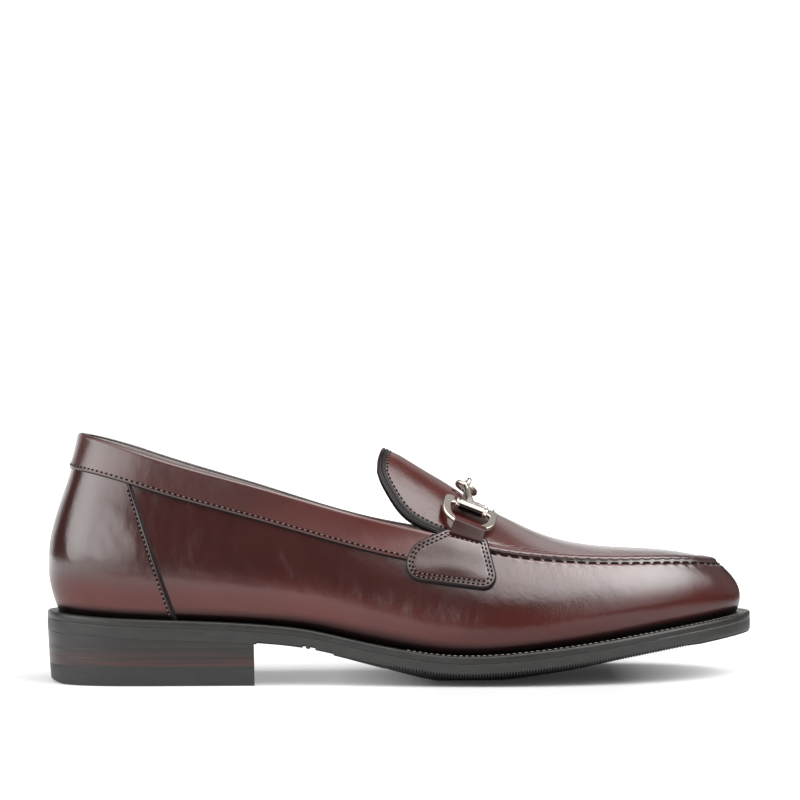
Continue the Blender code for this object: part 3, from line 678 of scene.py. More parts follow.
def leather(name, light, dark, burnt, polish=1.0, blur=0.17):
    """Polished calf: cloudy dye, darker where it is burnished, lighter where sheen is painted on,
    near-black where shade is painted into the crevice above the welt, fine pores under a wax coat.
    """
    n = new_finish(name)
    dye = n.ramp(n.noise(38.0, 4.0), (0.32, dark), (0.68, light))
    # painted sheen: the dye is made lighter low down, on upward faces and towards a band's front, standing
    # in for light caught there
    dye = n.mix(n.attribute("painted_sheen"), dye, n.mix(1.0, dye, (2.6, 2.4, 2.4), "MULTIPLY"))
    colour = n.mix(n.attribute("burnish"), dye, burnt)
    # painted shade: near-black colour in the crevice just above the welt, where shade falls
    colour = n.mix(n.attribute("painted_crevice_shade"), colour, (0.0030, 0.0014, 0.0013))
    pores = n.noise(2600.0, 3.0)
    grain = n.noise(620.0, 4.0, (1.3, 1.0, 0.8), 0.6)
    folds = n.noise(240.0, 3.0, (1.0, 1.0, 0.6), 0.55)
    grain = n.mix(n.span(n.attribute("flex"), 0.0, 1.0, 0.3, 1.0), (0.5, 0.5, 0.5), grain)
    normal = n.bump(n.noise(75.0, 2.0, (1.0, 1.0, 0.7)), 0.30, 0.0012)
    normal = n.bump(folds, 0.10, 0.0006, Normal=normal)
    normal = n.bump(grain, 0.26, 0.0004, Normal=normal)
    normal = n.bump(pores, 0.06, 0.00010, Normal=normal)
    n.set(Base_Color=colour, Roughness=n.span(n.noise(90.0, 3.0), 0.3, 0.7, 0.30, 0.38), Normal=normal)
    n.set(Coat_Weight=n.span(n.attribute("polish"), 0.0, 1.0, 0.0, polish), Coat_Roughness=blur)
    n.set(Coat_IOR=1.79, Coat_Normal=normal, Specular_IOR_Level=0.05)
    return n.owner


def even_finish(name, light, dark, rough, gloss, cloud, patches, pores):
    """Plain matt finish: clouded colour, uneven gloss in patches, and fine pores."""
    n = new_finish(name)
    n.set(Base_Color=n.ramp(n.noise(*cloud), (0.3, dark), (0.7, light)), Specular_IOR_Level=gloss)
    n.set(Roughness=n.span(n.noise(*patches), 0.3, 0.7, rough - 0.06, rough + 0.06))
    scale, detail, strength, distance = pores
    n.set(Normal=n.bump(n.noise(scale, detail), strength, distance))
    return n.owner


def plain_leather(name, light, dark, rough, gloss=0.4):
    pores = (1800.0, 3.0, 0.25, 0.0002)
    return even_finish(name, light, dark, rough, gloss, (160.0, 4.0), (300.0,), pores)


def rubber(name, light, dark, rough):
    cloud, pores = (240.0, 4.0, (0.5, 0.5, 2.0)), (2200.0, 2.0, 0.18, 0.00015)
    return even_finish(name, light, dark, rough, 0.4, cloud, (400.0, 3.0), pores)


def stacked_leather(name):
    """Lifts of heel leather: streaks along the layers, redder low down, under a dark wax."""
    n = new_finish(name)
    streak = n.noise(1.0, 4.0, (14.0, 14.0, 900.0), 0.6)
    long_streak = n.noise(1.0, 3.0, (26.0, 26.0, 420.0), 0.5)
    red = n.span(n.split(n.place)["Z"], 0.0105, 0.0150, 1.0, 0.1)
    dark, warm = (0.0085, 0.0058, 0.0054), (0.050, 0.0115, 0.0092)
    colour = n.mix(n.ramp(streak, (0.38, (0, 0, 0)), (0.66, (1, 1, 1))), dark, warm)
    colour = n.mix(red, (0.0088, 0.0074, 0.0070), colour)
    colour = n.mix(n.span(long_streak, 0.35, 0.65, 0.0, 0.35), colour, (0.0095, 0.0066, 0.0060))
    n.set(Base_Color=colour, Roughness=n.span(streak, 0.3, 0.7, 0.38, 0.5))
    n.set(Normal=n.bump(streak, 0.12, 0.0002))
    n.set(Specular_IOR_Level=0.45, Coat_Weight=0.22, Coat_Roughness=0.28)
    return n.owner


def metal(name, colour):
    """Polished plating with faint polishing marks."""
    n = new_finish(name)
    marks = n.noise(900.0, 3.0, (1.0, 4.0, 1.0))
    tint = n.mix(n.span(n.noise(300.0), 0.3, 0.7, 0.0, 0.3), colour, tuple(0.86 * c for c in colour))
    n.set(Base_Color=tint, Metallic=1.0, Roughness=n.span(marks, 0.3, 0.7, 0.10, 0.18))
    n.set(Normal=n.bump(marks, 0.02, 0.00005))
    return n.owner


def thread(name, colour, rough, gloss=0.5):
    n = new_finish(name)
    twist = n.add("ShaderNodeTexWave", Vector=n.place, Scale=1400.0, Distortion=1.0)
    twist.bands_direction = "DIAGONAL"
    shade = n.mix(twist.outputs["Fac"], tuple(0.65 * c for c in colour), colour)
    n.set(Base_Color=shade, Roughness=rough, Normal=n.bump(twist.outputs["Fac"], 0.3, 0.0001))
    n.set(Specular_IOR_Level=gloss)
    return n.owner


def hole(name):
    """Painted shade of a needle hole: near-black, with no gloss of its own."""
    n = new_finish(name)
    colour = n.ramp(n.noise(900.0), (0.3, (0.003, 0.002, 0.002)), (0.7, (0.007, 0.005, 0.005)))
    n.set(Base_Color=colour, Roughness=0.95, Specular_IOR_Level=0.08)
    return n.owner


CALF_DYE = (0.036, 0.0078, 0.0062), (0.028, 0.0060, 0.0049), (0.016, 0.0037, 0.0032)
STRAP_DYE = (0.033, 0.0120, 0.0105), (0.024, 0.0085, 0.0076), (0.012, 0.0034, 0.0031)
ROLL_DYE = (0.0075, 0.0042, 0.0039), (0.0050, 0.0029, 0.0027), (0.004, 0.0022, 0.0020)
CALF = leather("calf", *CALF_DYE)
SOFT_CALF = leather("soft_calf", *CALF_DYE, blur=0.27)
STRAP = leather("strap_calf", *STRAP_DYE, polish=0.22)
ROLL = leather("roll_calf", *ROLL_DYE, polish=0.45)
EDGE = plain_leather("edge_ink", (0.009, 0.0075, 0.0072), (0.0045, 0.0038, 0.0037), 0.42, 0.22)
LINING = plain_leather("lining", (0.30, 0.26, 0.25), (0.23, 0.20, 0.19), 0.55)
WELT = plain_leather("welt_ink", (0.019, 0.0178, 0.0168), (0.0125, 0.0117, 0.0110), 0.34, 0.45)
PALE_LINE = plain_leather("pale_line", (0.09, 0.086, 0.08), (0.05, 0.048, 0.045), 0.5)
SOLE = rubber("sole_rubber", (0.027, 0.0264, 0.0252), (0.0185, 0.0180, 0.0174), 0.46)
HEEL_RUBBER = rubber("heel_rubber", (0.020, 0.0198, 0.0196), (0.0145, 0.0143, 0.0142), 0.50)
# painted shade: near-black for the sole's faces that look down
UNDER_SHADE = rubber("painted_underside_shade", (0.0030, 0.0029, 0.0028), (0.0018, 0.0018, 0.0017), 0.8)
STACK = stacked_leather("stacked_leather")
METAL = metal("pale_gold", (0.62, 0.555, 0.495))
# painted shade for the lower side of the bit's barrel
SHADED_METAL = metal("painted_shade_gold", (0.055, 0.046, 0.042))
DARK_THREAD = thread("dark_thread", (0.005, 0.0036, 0.0032), 0.6, 0.12)
THREAD = thread("brown_thread", (0.17, 0.13, 0.115), 0.35)
PINK_THREAD = thread("pink_thread", (0.24, 0.155, 0.135), 0.45)
CREAM_THREAD = thread("cream_thread", (0.25, 0.225, 0.20), 0.6)
HOLE_SHADE = hole("needle_hole_shade")
HEEL_FINISH = {"heel_rubber": HEEL_RUBBER, "heel_leather": STACK}


# Upper


def burnish(piece, front=0.0):
    """Dye, wax, grain, painted sheen and painted shade by place, kept on the mesh; front paints sheen onto
    a band towards its front.

    The dye is darker at the toe, the back seam and along the welt, and the wax thinner low down
    and on the tongue. Painted sheen lightens the dye low down, on upward faces and towards a band's front;
    painted shade darkens the crevice just above the welt and takes away its wax.
    """
    x, _, z = (vertex_values(piece, "co") / MM).T
    upright = vertex_values(piece, "normal")[:, 2]
    above_welt = z - welt_top(np.clip(x, -150, 150))
    toe = 0.12 * smooth_step(x, 100.0, 138.0)
    foot = 0.85 * (1 - smooth_step(above_welt, 0.5, 5.0))
    heel = 0.45 * (1 - smooth_step(x, -146.0, -136.0))
    low = 1 - smooth_step(above_welt, 8.0, 24.0)
    # painted shade: the crevice just above the welt is darkened and its wax taken away, where shade falls
    crevice_shade_top = 5.0 + 3.4 * np.exp(-((x + 12.0) / 40.0) ** 2)
    painted_crevice_shade = 1 - smooth_step(above_welt, 1.6, crevice_shade_top)
    # painted sheen: lighter dye low down, on faces turned upwards and towards a band's front
    upward = smooth_step(upright, 0.35, 0.85) * (1 - smooth_step(x, 90.0, 125.0))
    painted_sheen = np.maximum(low * (1 - 0.5 * smooth_step(x, -20.0, 40.0)), 0.65 * upward)
    painted_sheen = np.maximum(painted_sheen, front * (0.3 + 0.7 * smooth_step(x, -85.0, -10.0)))
    on_tongue = smooth_step(x, -25.0, -12.0) * (1 - smooth_step(x, 24.0, 44.0)) * smooth_step(z, 58.0, 68.0)
    flex = np.maximum(np.exp(-((x - 66.0) / 26.0) ** 2), 0.7 * on_tongue)
    layers = {
        "burnish": np.clip(np.maximum(np.maximum(toe, foot), heel), 0.0, 1.0),
        "polish": (1 - 0.58 * low) * (1 - 0.9 * painted_crevice_shade) * (1 - 0.45 * on_tongue),
        "painted_sheen": painted_sheen,
        "flex": flex,
        "painted_crevice_shade": painted_crevice_shade,
    }
    for name, values in layers.items():
        layer = piece.data.attributes.new(name, "FLOAT", "POINT")
        layer.data.foreach_set("value", values.astype(np.float32))


def crease_depth(points):
    """How deep the outer side's creases are at its points."""
    depth = np.zeros(points.shape[:-1])
    place = points[..., [0, 2]]
    for x0, z0, x1, z1, deep, half in zip(*CREASES.values()):
        start, run = np.array([x0, z0]), np.array([x1 - x0, z1 - z0])
        share = np.clip(((place - start) @ run) / run.dot(run), 0.0, 1.0)
        beside = length_of(place - start - over(share) * run)
        fade = np.sin(np.pi * np.clip(share, 0.06, 0.94))
        depth += deep * fade * np.exp(-(beside / half) ** 2)
    return np.where(points[..., 1] < 0, depth, 0.0)


COLLAR_STEPS, SEAM_STEPS, TONGUE_ROWS = 150, 220, 42
ACROSS_STEPS, EDGE_STEPS, LOW_LEVELS, HIGH_LEVELS = 22, 8, 29, 12
SEAM_ZONE = 5.0


def across_steps(reach):
    """Places across an arched row, close together near its seams."""
    foot = 1 - min(SEAM_ZONE / max(reach, 1e-6), 0.45)
    edge = np.linspace(1.0, foot, EDGE_STEPS + 1)
    return np.concatenate([-edge, np.linspace(-foot, foot, ACROSS_STEPS + 1)[1:-1], edge[::-1]])


def seam_wave(turn):
    """Wave of the hand-sewn stitches along the apron seam, counted from the toe on either side."""
    fine = np.linspace(throat_turn, np.pi, 600)
    run = running_length(top_edge(fine))
    from_toe = run[-1] - np.interp(np.minimum(turn, FULL - turn), fine, run)
    return np.cos(from_toe * FULL / SEAM_PITCH)


seam_turns = np.linspace(throat_turn, np.pi, SEAM_STEPS + 1)
half_turns = np.concatenate([np.linspace(0, throat_turn, COLLAR_STEPS + 1), seam_turns[1:]])
all_turns = np.concatenate([half_turns, FULL - half_turns[-2:0:-1]])
zone_share = 1 - SEAM_ZONE / wall_height(all_turns)[:, None]
low_levels, high_levels = np.linspace(0, 1, LOW_LEVELS), np.linspace(0, 1, HIGH_LEVELS)[1:]
levels = np.hstack([zone_share * low_levels, zone_share + (1 - zone_share) * high_levels])
wall_grid = wall(all_turns[:, None], levels)
wall_grid -= over(crease_depth(wall_grid)) * sole_normal(all_turns[:, None])
seam_distance = (1 - levels) * wall_height(all_turns)[:, None]
scallop = np.exp(-((seam_distance - 3.3) / 0.8) ** 2) * (0.5 - 0.5 * seam_wave(all_turns))[:, None]
scallop *= smooth_step(wall_grid[..., 0], RIDGE_FULL_X + 2, RIDGE_FULL_X + 22)
wall_grid += over(0.2 * scallop) * seam_up(all_turns[:, None])
apron_places = np.stack([across_steps(abs(reach)) for reach in top_edge(seam_turns)[:, 1]])
apron_grid = apron(seam_turns[:, None], apron_places)
tongue_at = np.linspace(0, 1, TONGUE_ROWS + 1)
tongue_reach = tongue_edge["reach"](np.maximum(tongue_at * (LAST_ROW + 1) - 1, 0))
tongue_grid = tongue_face(tongue_at[:, None], np.stack([across_steps(reach) for reach in tongue_reach]))
tongue_grid[0] = apron_grid[0]
upper_points = np.concatenate([grid.reshape(-1, 3) for grid in (wall_grid, apron_grid, tongue_grid)])
count_wall = wall_grid.shape[0] * wall_grid.shape[1]
count_apron = apron_grid.shape[0] * apron_grid.shape[1]
size = wall_grid.shape[1]
joint = count_wall - size
wall_faces = [face[::-1] for face in grid_faces(*wall_grid.shape[:2])]
wall_faces += [[joint + j, joint + j + 1, j + 1, j] for j in range(size - 1)]
apron_faces = [face[::-1] for face in grid_faces(*apron_grid.shape[:2], start=count_wall)]
tongue_faces = grid_faces(*tongue_grid.shape[:2], start=count_wall + count_apron)
upper_faces = wall_faces + apron_faces + tongue_faces
upper = add_piece("upper_leather_shell", new_mesh(upper_points, upper_faces, merge=0.002),
                  [CALF, LINING, EDGE], ["upper"], 70.0)
shell = thicken(upper, WALL)
shell.material_offset, shell.material_offset_rim = 1, 2
shell.use_quality_normals = True
burnish(upper)

# Surface that the tabs lie on: the upper, with the throat's corners bridged
BRIDGE_STEPS, BRIDGE_BACK, BRIDGE_ROW = 13, 24.0, 2.2
back_turns = np.linspace(throat_turn, top_turn(THROAT_X - BRIDGE_BACK), BRIDGE_STEPS)
bridges, bridge_faces = [], []
for collar, edge in ((back_turns, -1.0), (FULL - back_turns, 1.0)):
    bridge_faces += grid_faces(2, BRIDGE_STEPS, start=len(upper_points) + 2 * BRIDGE_STEPS * len(bridges))
    across_gap = [top_edge(collar), tongue(np.linspace(-1, BRIDGE_ROW, BRIDGE_STEPS), edge)]
    bridges.append(np.concatenate(across_gap))
surface_points = (np.concatenate([upper_points, *bridges]) * MM).tolist()
surface = BVHTree.FromPolygons(surface_points, upper_faces + bridge_faces)


def turn_limit(level, line):
    """Angle at which the lateral wall, at one level, crosses a straight line seen from the side."""
    (top_x, top_z), (low_x, low_z) = line
    low, high = 0.05, throat_turn
    for _ in range(30):
        middle = (low + high) / 2
        x, _, z = wall(middle, level)
        if x < low_x + (top_x - low_x) * (z - low_z) / (top_z - low_z):
            low = middle
        else:
            high = middle
    return low


def row_turns(level_at, share, line, stations):
    """Turns of a row laid on the wall around the heel, ended on both sides by a line."""
    limit = throat_turn
    for _ in range(4):
        limit = turn_limit(float(level_at(limit, share)), line)
    return np.linspace(-limit, limit, stations)


# Heel counter
COUNTER_LIFT, COUNTER_STATIONS, COUNTER_ROWS = 1.0, 161, 56
EDGE_STEP, EDGE_WIDTH, EDGE_DROP = 0.8, 0.9, 0.5


def counter_level(turn, share):
    top = 1 - (BAND_WIDTH - 1.0) / wall_height(turn)
    return 0.002 + (top - 0.002) * share


counter_shares = np.linspace(0, 1, COUNTER_ROWS)
counter_turns = np.stack([row_turns(counter_level, share, COUNTER_FRONT, COUNTER_STATIONS)
                          for share in counter_shares])
counter_levels = counter_level(counter_turns, counter_shares[:, None])
stations = np.arange(COUNTER_STATIONS)
from_edge = np.clip(np.minimum(stations, stations[::-1]) * EDGE_STEP / EDGE_WIDTH, 0.0, 1.0)
counter_lift = COUNTER_LIFT - EDGE_DROP * (1 - np.sqrt(1 - (1 - from_edge) ** 2))
counter_grid = wall(counter_turns, counter_levels)
counter_normals = wall_normal(counter_turns, counter_levels)
counter_grid += over(counter_lift - crease_depth(counter_grid)) * counter_normals
counter = add_piece("counter_leather", new_mesh(counter_grid, grid_faces(*counter_grid.shape[:2])),
                    [CALF], ["heel_counter"])
thicken(counter, 1.1)
burnish(counter)
# Profile of its edge, across and up: two lips with a groove between them
STRIP_PROFILE = [
    (0.9, -0.6), (0.9, -0.05), (0.75, 0.22), (0.3, 0.34), (-0.1, 0.3), (-0.25, 0.16), (-0.45, 0.3),
    (-0.75, 0.24), (-0.95, 0.0), (-0.95, -1.3), (0.2, -1.3),
]
edge_strips, counter_lines = [], []
for end, inner in ((0, 4), (-1, -5)):
    path, normals = counter_grid[:, end], counter_normals[:, end]
    inward = unit(counter_grid[:, inner] - path)
    edge_strips.append(tube(path + 0.3 * inward, inward, normals, STRIP_PROFILE))
    counter_lines.append(((path + 1.75 * inward + 0.42 * normals)[1:-3], normals[1:-3]))
add_piece("counter_edge", outward(joined_mesh(edge_strips)), [EDGE], (), 35.0)

# Collar band, folded over the collar's edge: lift and height of its outer side, then its cap
BAND_LIFT, BAND_STATIONS = 1.5, 421
BAND_PROFILE = [
    (-0.30, 0.0), (0.55, 0.0), (1.05, 0.12), (1.38, 0.45), (BAND_LIFT, 1.1), (BAND_LIFT, 2.0),
    *[(BAND_LIFT, place) for place in np.linspace(3.0, BAND_WIDTH - 0.9, 12)],
]
CAP_PROFILE = [
    (1.42, -0.75), (1.15, -0.25), (0.55, 0.05), (-0.3, 0.14), (-1.3, 0.1), (-2.15, -0.15), (-2.6, -0.8),
    (-2.65, -1.8), (-2.55, -4.0), (-1.6, -4.2),
]


def band_level(turn, up):
    """Level at a height above the band's lower edge; the band is deeper at the back."""
    depth = BAND_WIDTH + 1.5 * np.exp(-(turn / 0.45) ** 2)
    return 1 - depth * (1 - up / BAND_WIDTH) / wall_height(turn)


def band_lift(turn, lift, up):
    """Lift of the band over the wall: more at the back, towards its lower edge."""
    return lift + 0.5 * max(lift, 0) * np.exp(-(turn / 0.5) ** 2) * (1 - up / BAND_WIDTH)


def level_line(turns, level, lift):
    """Line on the wall at its levels, lifted, with its normals."""
    normals = wall_normal(turns, level)
    return wall(turns, level) + over(lift) * normals, normals


band_rows = []
for lift, up in BAND_PROFILE:
    turns = row_turns(band_level, up, BAND_FRONT, BAND_STATIONS)
    line, _ = level_line(turns, band_level(turns, up), band_lift(turns, lift, up))
    band_rows.append(line)
cap_out = wall_normal(turns, np.full(BAND_STATIONS, 0.995))
cap_up = unit(wall(turns, 1.0) - wall(turns, 0.97))
band_rows += [top_edge(turns) + out * cap_out + up * cap_up for out, up in CAP_PROFILE]
band_faces = grid_faces(len(band_rows), BAND_STATIONS, looped=True)
for end in (0, BAND_STATIONS - 1):
    band_faces.append([row * BAND_STATIONS + end for row in range(len(band_rows))])
band = add_piece("collar_band_leather", outward(new_mesh(np.stack(band_rows), band_faces)),
                 [SOFT_CALF, EDGE, LINING], ["collar_band"])
cap_row = len(BAND_PROFILE)
for polygon in band.data.polygons:
    row = min(polygon.vertices) // BAND_STATIONS
    if row < 3 or row in (cap_row + 2, cap_row + 3, cap_row + 5):
        polygon.material_index = 1
    elif row >= cap_row + 6:
        polygon.material_index = 2
# painted sheen: the band's colour is lightened towards its front
burnish(band, 0.75)

# Sock on the insole, cupped at its edges
SOCK_ROWS, SOCK_THICK, SOCK_GAP, SOCK_CUP = 121, 2.0, 0.4, 1.6
sock_shares = np.linspace(-1, 1, 25)
sock_turns = np.linspace(0, np.pi, SOCK_ROWS)
sock_near, sock_far = (sole_edge(turn, feather_inset(turn) + WALL + SOCK_GAP)
                       for turn in (sock_turns, FULL - sock_turns))
sock_grid = sock_near[:, None] + (sock_far - sock_near)[:, None] * over((sock_shares + 1) / 2)
sock_grid[..., 2] = welt_top(sock_grid[..., 0]) + INSOLE_THICK + SOCK_CUP * np.abs(sock_shares) ** 6
sock = add_piece("sock_leather", new_mesh(sock_grid, grid_faces(*sock_grid.shape[:2]), merge=0.01),
                 [LINING], ["insole"])
thicken(sock, SOCK_THICK)

# Binding round the tongue's edge: its profile runs in from the edge and up
BINDING_PROFILE = [
    (3.3, -0.1), (3.2, 0.16), (2.7, 0.3), (1.9, 0.3), (1.6, 0.2), (1.45, 0.1), (1.3, 0.3), (1.05, 0.52),
    (0.7, 0.52), (0.35, 0.28), (0.05, -0.1), (-0.2, -0.6), (-0.32, -1.2), (-0.3, -1.8), (-0.1, -2.4),
    (0.3, -2.7), (0.9, -2.8), (2.4, -2.5), (2.4, -1.2),
]
BINDING_ROLL = (6, 15)
side_runs = np.linspace(0.045, 1.0, 130)
tip_across = np.linspace(-1, 1, 71)[1:-1]
path_runs = np.concatenate([side_runs, np.ones(len(tip_across)), side_runs[::-1]])
path_across = np.concatenate([np.full(len(side_runs), -1.0), tip_across, np.full(len(side_runs), 1.0)])
binding_edge = tongue_face(path_runs, path_across)
binding_normal = tongue_normal(path_runs, path_across)
binding_ahead = np.gradient(binding_edge, axis=0)
for _ in range(12):
    for line in (binding_ahead, binding_normal):
        line[1:-1] = (line[:-2] + line[1:-1] * 2 + line[2:]) / 4
binding_normal = unit(binding_normal)
binding_in = unit(np.cross(binding_ahead, binding_normal))
binding_shape = tube(binding_edge, binding_in, binding_normal, BINDING_PROFILE)
binding = add_piece("tongue_binding_leather", outward(new_mesh(*binding_shape)),
                    [EDGE, ROLL], ["tongue_binding"])
for polygon in binding.data.polygons:
    place = sorted(i % len(BINDING_PROFILE) for i in polygon.vertices)
    if len(place) == 4 and BINDING_ROLL[0] <= place[0] and place[-1] <= BINDING_ROLL[1]:
        polygon.material_index = 1
burnish(binding)


# Tabs


def rounded_outline(corners, steps=14):
    """Closed outline through corners that are rounded by arcs."""
    spots = np.stack([corners["x"], corners["height"]], axis=1)
    points = []
    for i, corner in enumerate(spots):
        back = unit(spots[i - 1] - corner)
        ahead = unit(spots[(i + 1) % len(spots)] - corner)
        half = np.arccos(np.clip(back.dot(ahead), -1, 1)) / 2
        radius = corners["radius"][i]
        centre = corner + unit(back + ahead) * radius / np.sin(half)
        start, end = (corner + way * radius / np.tan(half) - centre for way in (back, ahead))
        for share in np.linspace(0, 1, steps):
            points.append(centre + unit(start * (1 - share) + end * share) * radius)
    return np.array(points)


def even_outline(points, count):
    """The same closed outline with evenly spaced points."""
    closed = np.vstack([points, points[:1]])
    run = running_length(closed)
    spots = np.linspace(0, run[-1], count, endpoint=False)
    return np.stack([np.interp(spots, run, closed[:, k]) for k in (0, 1)], axis=1)


def inset_outline(outline, distance):
    """The outline moved in by a distance."""
    ahead = np.roll(outline, -1, axis=0) - np.roll(outline, 1, axis=0)
    normal = unit(np.stack([-ahead[:, 1], ahead[:, 0]], axis=1))
    inward = normal if ((outline.mean(0) - outline) * normal).sum() > 0 else -normal
    return outline + inward * distance


def on_upper(x, height, side):
    """Point of the upper where a side view shows x and height."""
    start = Vector((x, side * 90.0, height)) * MM
    return np.array(surface.ray_cast(start, Vector((0, -side, 0)))[0]) / MM


def bend_terms(x, z):
    """Terms of a smooth sheet over a side view's x and height."""
    u, v = (x - 20.0) / 20.0, (z - 50.0) / 12.0
    return np.stack([u ** i * v ** j for i in range(5) for j in range(5 - i)], axis=-1)


# Rings of a tab from its edge inwards: inset and lift; from DEEP_RING on they close in on its middle
TAB_RINGS = [
    (0.0, -1.4), (0.0, 0.6), (0.08, 1.0), (0.3, 1.32), (0.65, 1.46), (1.1, 1.5), (1.6, 1.36), (2.1, 1.5),
    (2.9, 1.38), (3.4, 1.54), (4.2, 1.6), (5.6, 1.66), (7.2, 1.7), (8.8, 1.72), (10.4, 1.72),
]
DEEP_RING, EDGE_RINGS, SEAM_RINGS = 10, 5, (6, 8)
TAB_POINTS, TAB_SWELL = 168, 0.5
ring_insets, ring_lifts = np.array(TAB_RINGS).T
outline = even_outline(rounded_outline(TAB_CORNERS), TAB_POINTS)
middle = outline.mean(axis=0)
rings = [inset_outline(outline, inset) for inset in ring_insets[:DEEP_RING + 1]]
closing = np.linspace(1, 0.08, len(TAB_RINGS) - DEEP_RING)[1:]
plan = np.array(rings + [middle + (rings[-1] - middle) * share for share in closing])
tab_x, tab_z = plan[..., 0], plan[..., 1]
swell = TAB_SWELL * np.exp(-((tab_x - 22.0) / 10.0) ** 2 - ((tab_z - 46.5) / 8.0) ** 2)
swell *= smooth_step(ring_insets, 2.9, 7.2)[:, None]
tab_stitches = []
for side, word in SIDES:
    lift_way = unit(np.array([-0.10, 0.88 * side, 0.47]))
    hits = np.array([on_upper(x, z, side) for ring in plan[::2] for x, z in ring[::4]])
    terms = bend_terms(hits[:, 0], hits[:, 2])
    sheet = np.linalg.lstsq(terms, hits[:, 1] * side, rcond=None)[0]
    proud = (hits[:, 1] * side - terms @ sheet).max()
    reach = bend_terms(tab_x, tab_z) @ sheet + 0.5 * proud
    tab_grid = vec(tab_x, reach * side, tab_z) + over(ring_lifts[:, None] + swell) * lift_way
    tab = add_piece("tab_leather_" + word,
                    outward(new_mesh(tab_grid, capped_faces(len(TAB_RINGS), TAB_POINTS))),
                    [SOFT_CALF, EDGE], ["tab_" + word], 60.0)
    for polygon in tab.data.polygons:
        if max(polygon.vertices) < EDGE_RINGS * TAB_POINTS:
            polygon.material_index = 1
    burnish(tab)
    normals = np.broadcast_to(lift_way, (TAB_POINTS + 1, 3))
    for ring in SEAM_RINGS:
        line = np.vstack([tab_grid[ring], tab_grid[ring][:1]])
        tab_stitches.append((line + 0.08 * lift_way, normals))
sewn_rows("tab_seam", tab_stitches)


# Snaffle bit and its straps


def frame_at(origin, first, second):
    """Placement with its X along first and its Y as near as can be to second."""
    x = unit(np.array(first))
    y = unit(np.array(second) - x * x.dot(second))
    spots = np.stack([x, y, np.cross(x, y), np.array(origin) * MM], axis=1)
    return Matrix([*spots.tolist(), [0, 0, 0, 1]])


LATHE_SIDES, TORUS_STEPS, TORUS_SIDES = 40, 64, 20


def lathe(origin, axis, hint, profile, flat=1.0, looped=False):
    """Turned solid: profile points are (along the axis, radius); flat thins it across the hint."""
    z = unit(np.array(axis))
    x = unit(np.array(hint) - z * z.dot(hint))
    y = np.cross(z, x) * flat
    angle = np.linspace(0, FULL, LATHE_SIDES, endpoint=False)
    circle = np.cos(angle)[:, None] * x + np.sin(angle)[:, None] * y
    points = np.concatenate([np.array(origin) + along * z + radius * circle for along, radius in profile])
    if looped:
        return points, grid_faces(len(profile), LATHE_SIDES, closed=True, looped=True)
    return points, capped_faces(len(profile), LATHE_SIDES)


def torus(origin, first, second, radius, wire):
    x, y = unit(np.array(first)), np.array(second)
    y = unit(y - x * x.dot(y))
    a = np.linspace(0, FULL, TORUS_STEPS, endpoint=False)[:, None, None]
    b = np.linspace(0, FULL, TORUS_SIDES, endpoint=False)[:, None]
    points = np.array(origin) + (np.cos(a) * x + np.sin(a) * y) * (radius + wire * np.cos(b))
    points = points + wire * np.sin(b) * np.cross(x, y)
    return points, grid_faces(TORUS_STEPS, TORUS_SIDES, closed=True, looped=True)


def bit_axes(side):
    """Directions at one side of the bit: along the barrel, down the instep and out of it."""
    slope = np.radians(BARREL_SLOPE)
    along = np.array([np.cos(slope), 0.0, -np.sin(slope)])
    down = np.array([-0.295, 0.82 * side, -0.49])
    down = unit(down - along * along.dot(down))
    return along, down, np.cross(along, down) * side


def on_side(point, side):
    return np.array([point[0], -point[1] * side, point[2]])


def bit_bar(word, side):
    """Barrel with beads, tapered bar and eye of one half of the bit."""
    along, down, _ = bit_axes(side)
    barrel_at = on_side(BARREL_CENTRE, side)
    tilt, lean = np.radians(TONGUE_TILT), np.radians(LINK_TILT)
    out = np.array([0.0, side * np.cos(lean), -side * np.sin(lean)])
    if side == LATERAL:
        eye_radius, eye_at = UPRIGHT_EYE_RADIUS, np.array(LINK_CENTRE) + out * FLAT_EYE_RADIUS
        out = np.array([0.0, -0.97, -0.24])
        eye_second = np.array([np.sin(tilt), 0.0, np.cos(tilt)])
    else:
        eye_radius, eye_at = FLAT_EYE_RADIUS, np.array(LINK_CENTRE)
        eye_second = np.array([np.cos(tilt), 0.0, -np.sin(tilt)])
    neck = eye_at + out * eye_radius
    run = barrel_at - neck
    reach = length_of(run)
    end, bead = -BARREL_LENGTH / 2, BEAD_LENGTH
    profile = [
        (end, BARREL_BORE), (end, BEAD_RADIUS - 0.5), (end + 0.25, BEAD_RADIUS - 0.1),
        (end + bead / 2, BEAD_RADIUS), (end + bead - 0.2, BEAD_RADIUS - 0.15),
        (end + bead, BARREL_RADIUS - 0.35), (end + bead + 0.35, BARREL_RADIUS - 0.3),
        (end + bead + 0.6, BARREL_RADIUS),
    ]
    profile += [(-place, radius) for place, radius in profile[::-1]]
    flare = [
        (-0.8, 0.3), (-0.6, 1.2), (0.4, 1.5), (reach * 0.3, 1.6), (reach * 0.55, 1.8), (reach - 4.6, 2.2),
        (reach - 3.4, 2.8), (reach - 2.4, 3.4), (reach - 1.2, 3.7), (reach - 1.0, 0.3),
    ]
    shapes = [
        lathe(barrel_at, along, down, profile, looped=True),
        lathe(neck, run, along, flare, flat=0.55),
        torus(eye_at, out, eye_second, eye_radius, EYE_WIRE),
    ]
    bar = add_piece("bit_bar_metal_" + word, outward(joined_mesh(shapes)), [METAL, SHADED_METAL],
                    ["bit_bar_" + word], 35.0)
    # Painted shade: the barrel's smooth part gets a near-black finish on its lower side
    first = (len(profile) // 2 - 1) * LATHE_SIDES
    above = np.cross([0.0, -1.0, 0.0], along)
    for polygon in bar.data.polygons[first:first + LATHE_SIDES]:
        polygon.material_index = 1 if np.array(polygon.normal) @ above < 0.12 else 0


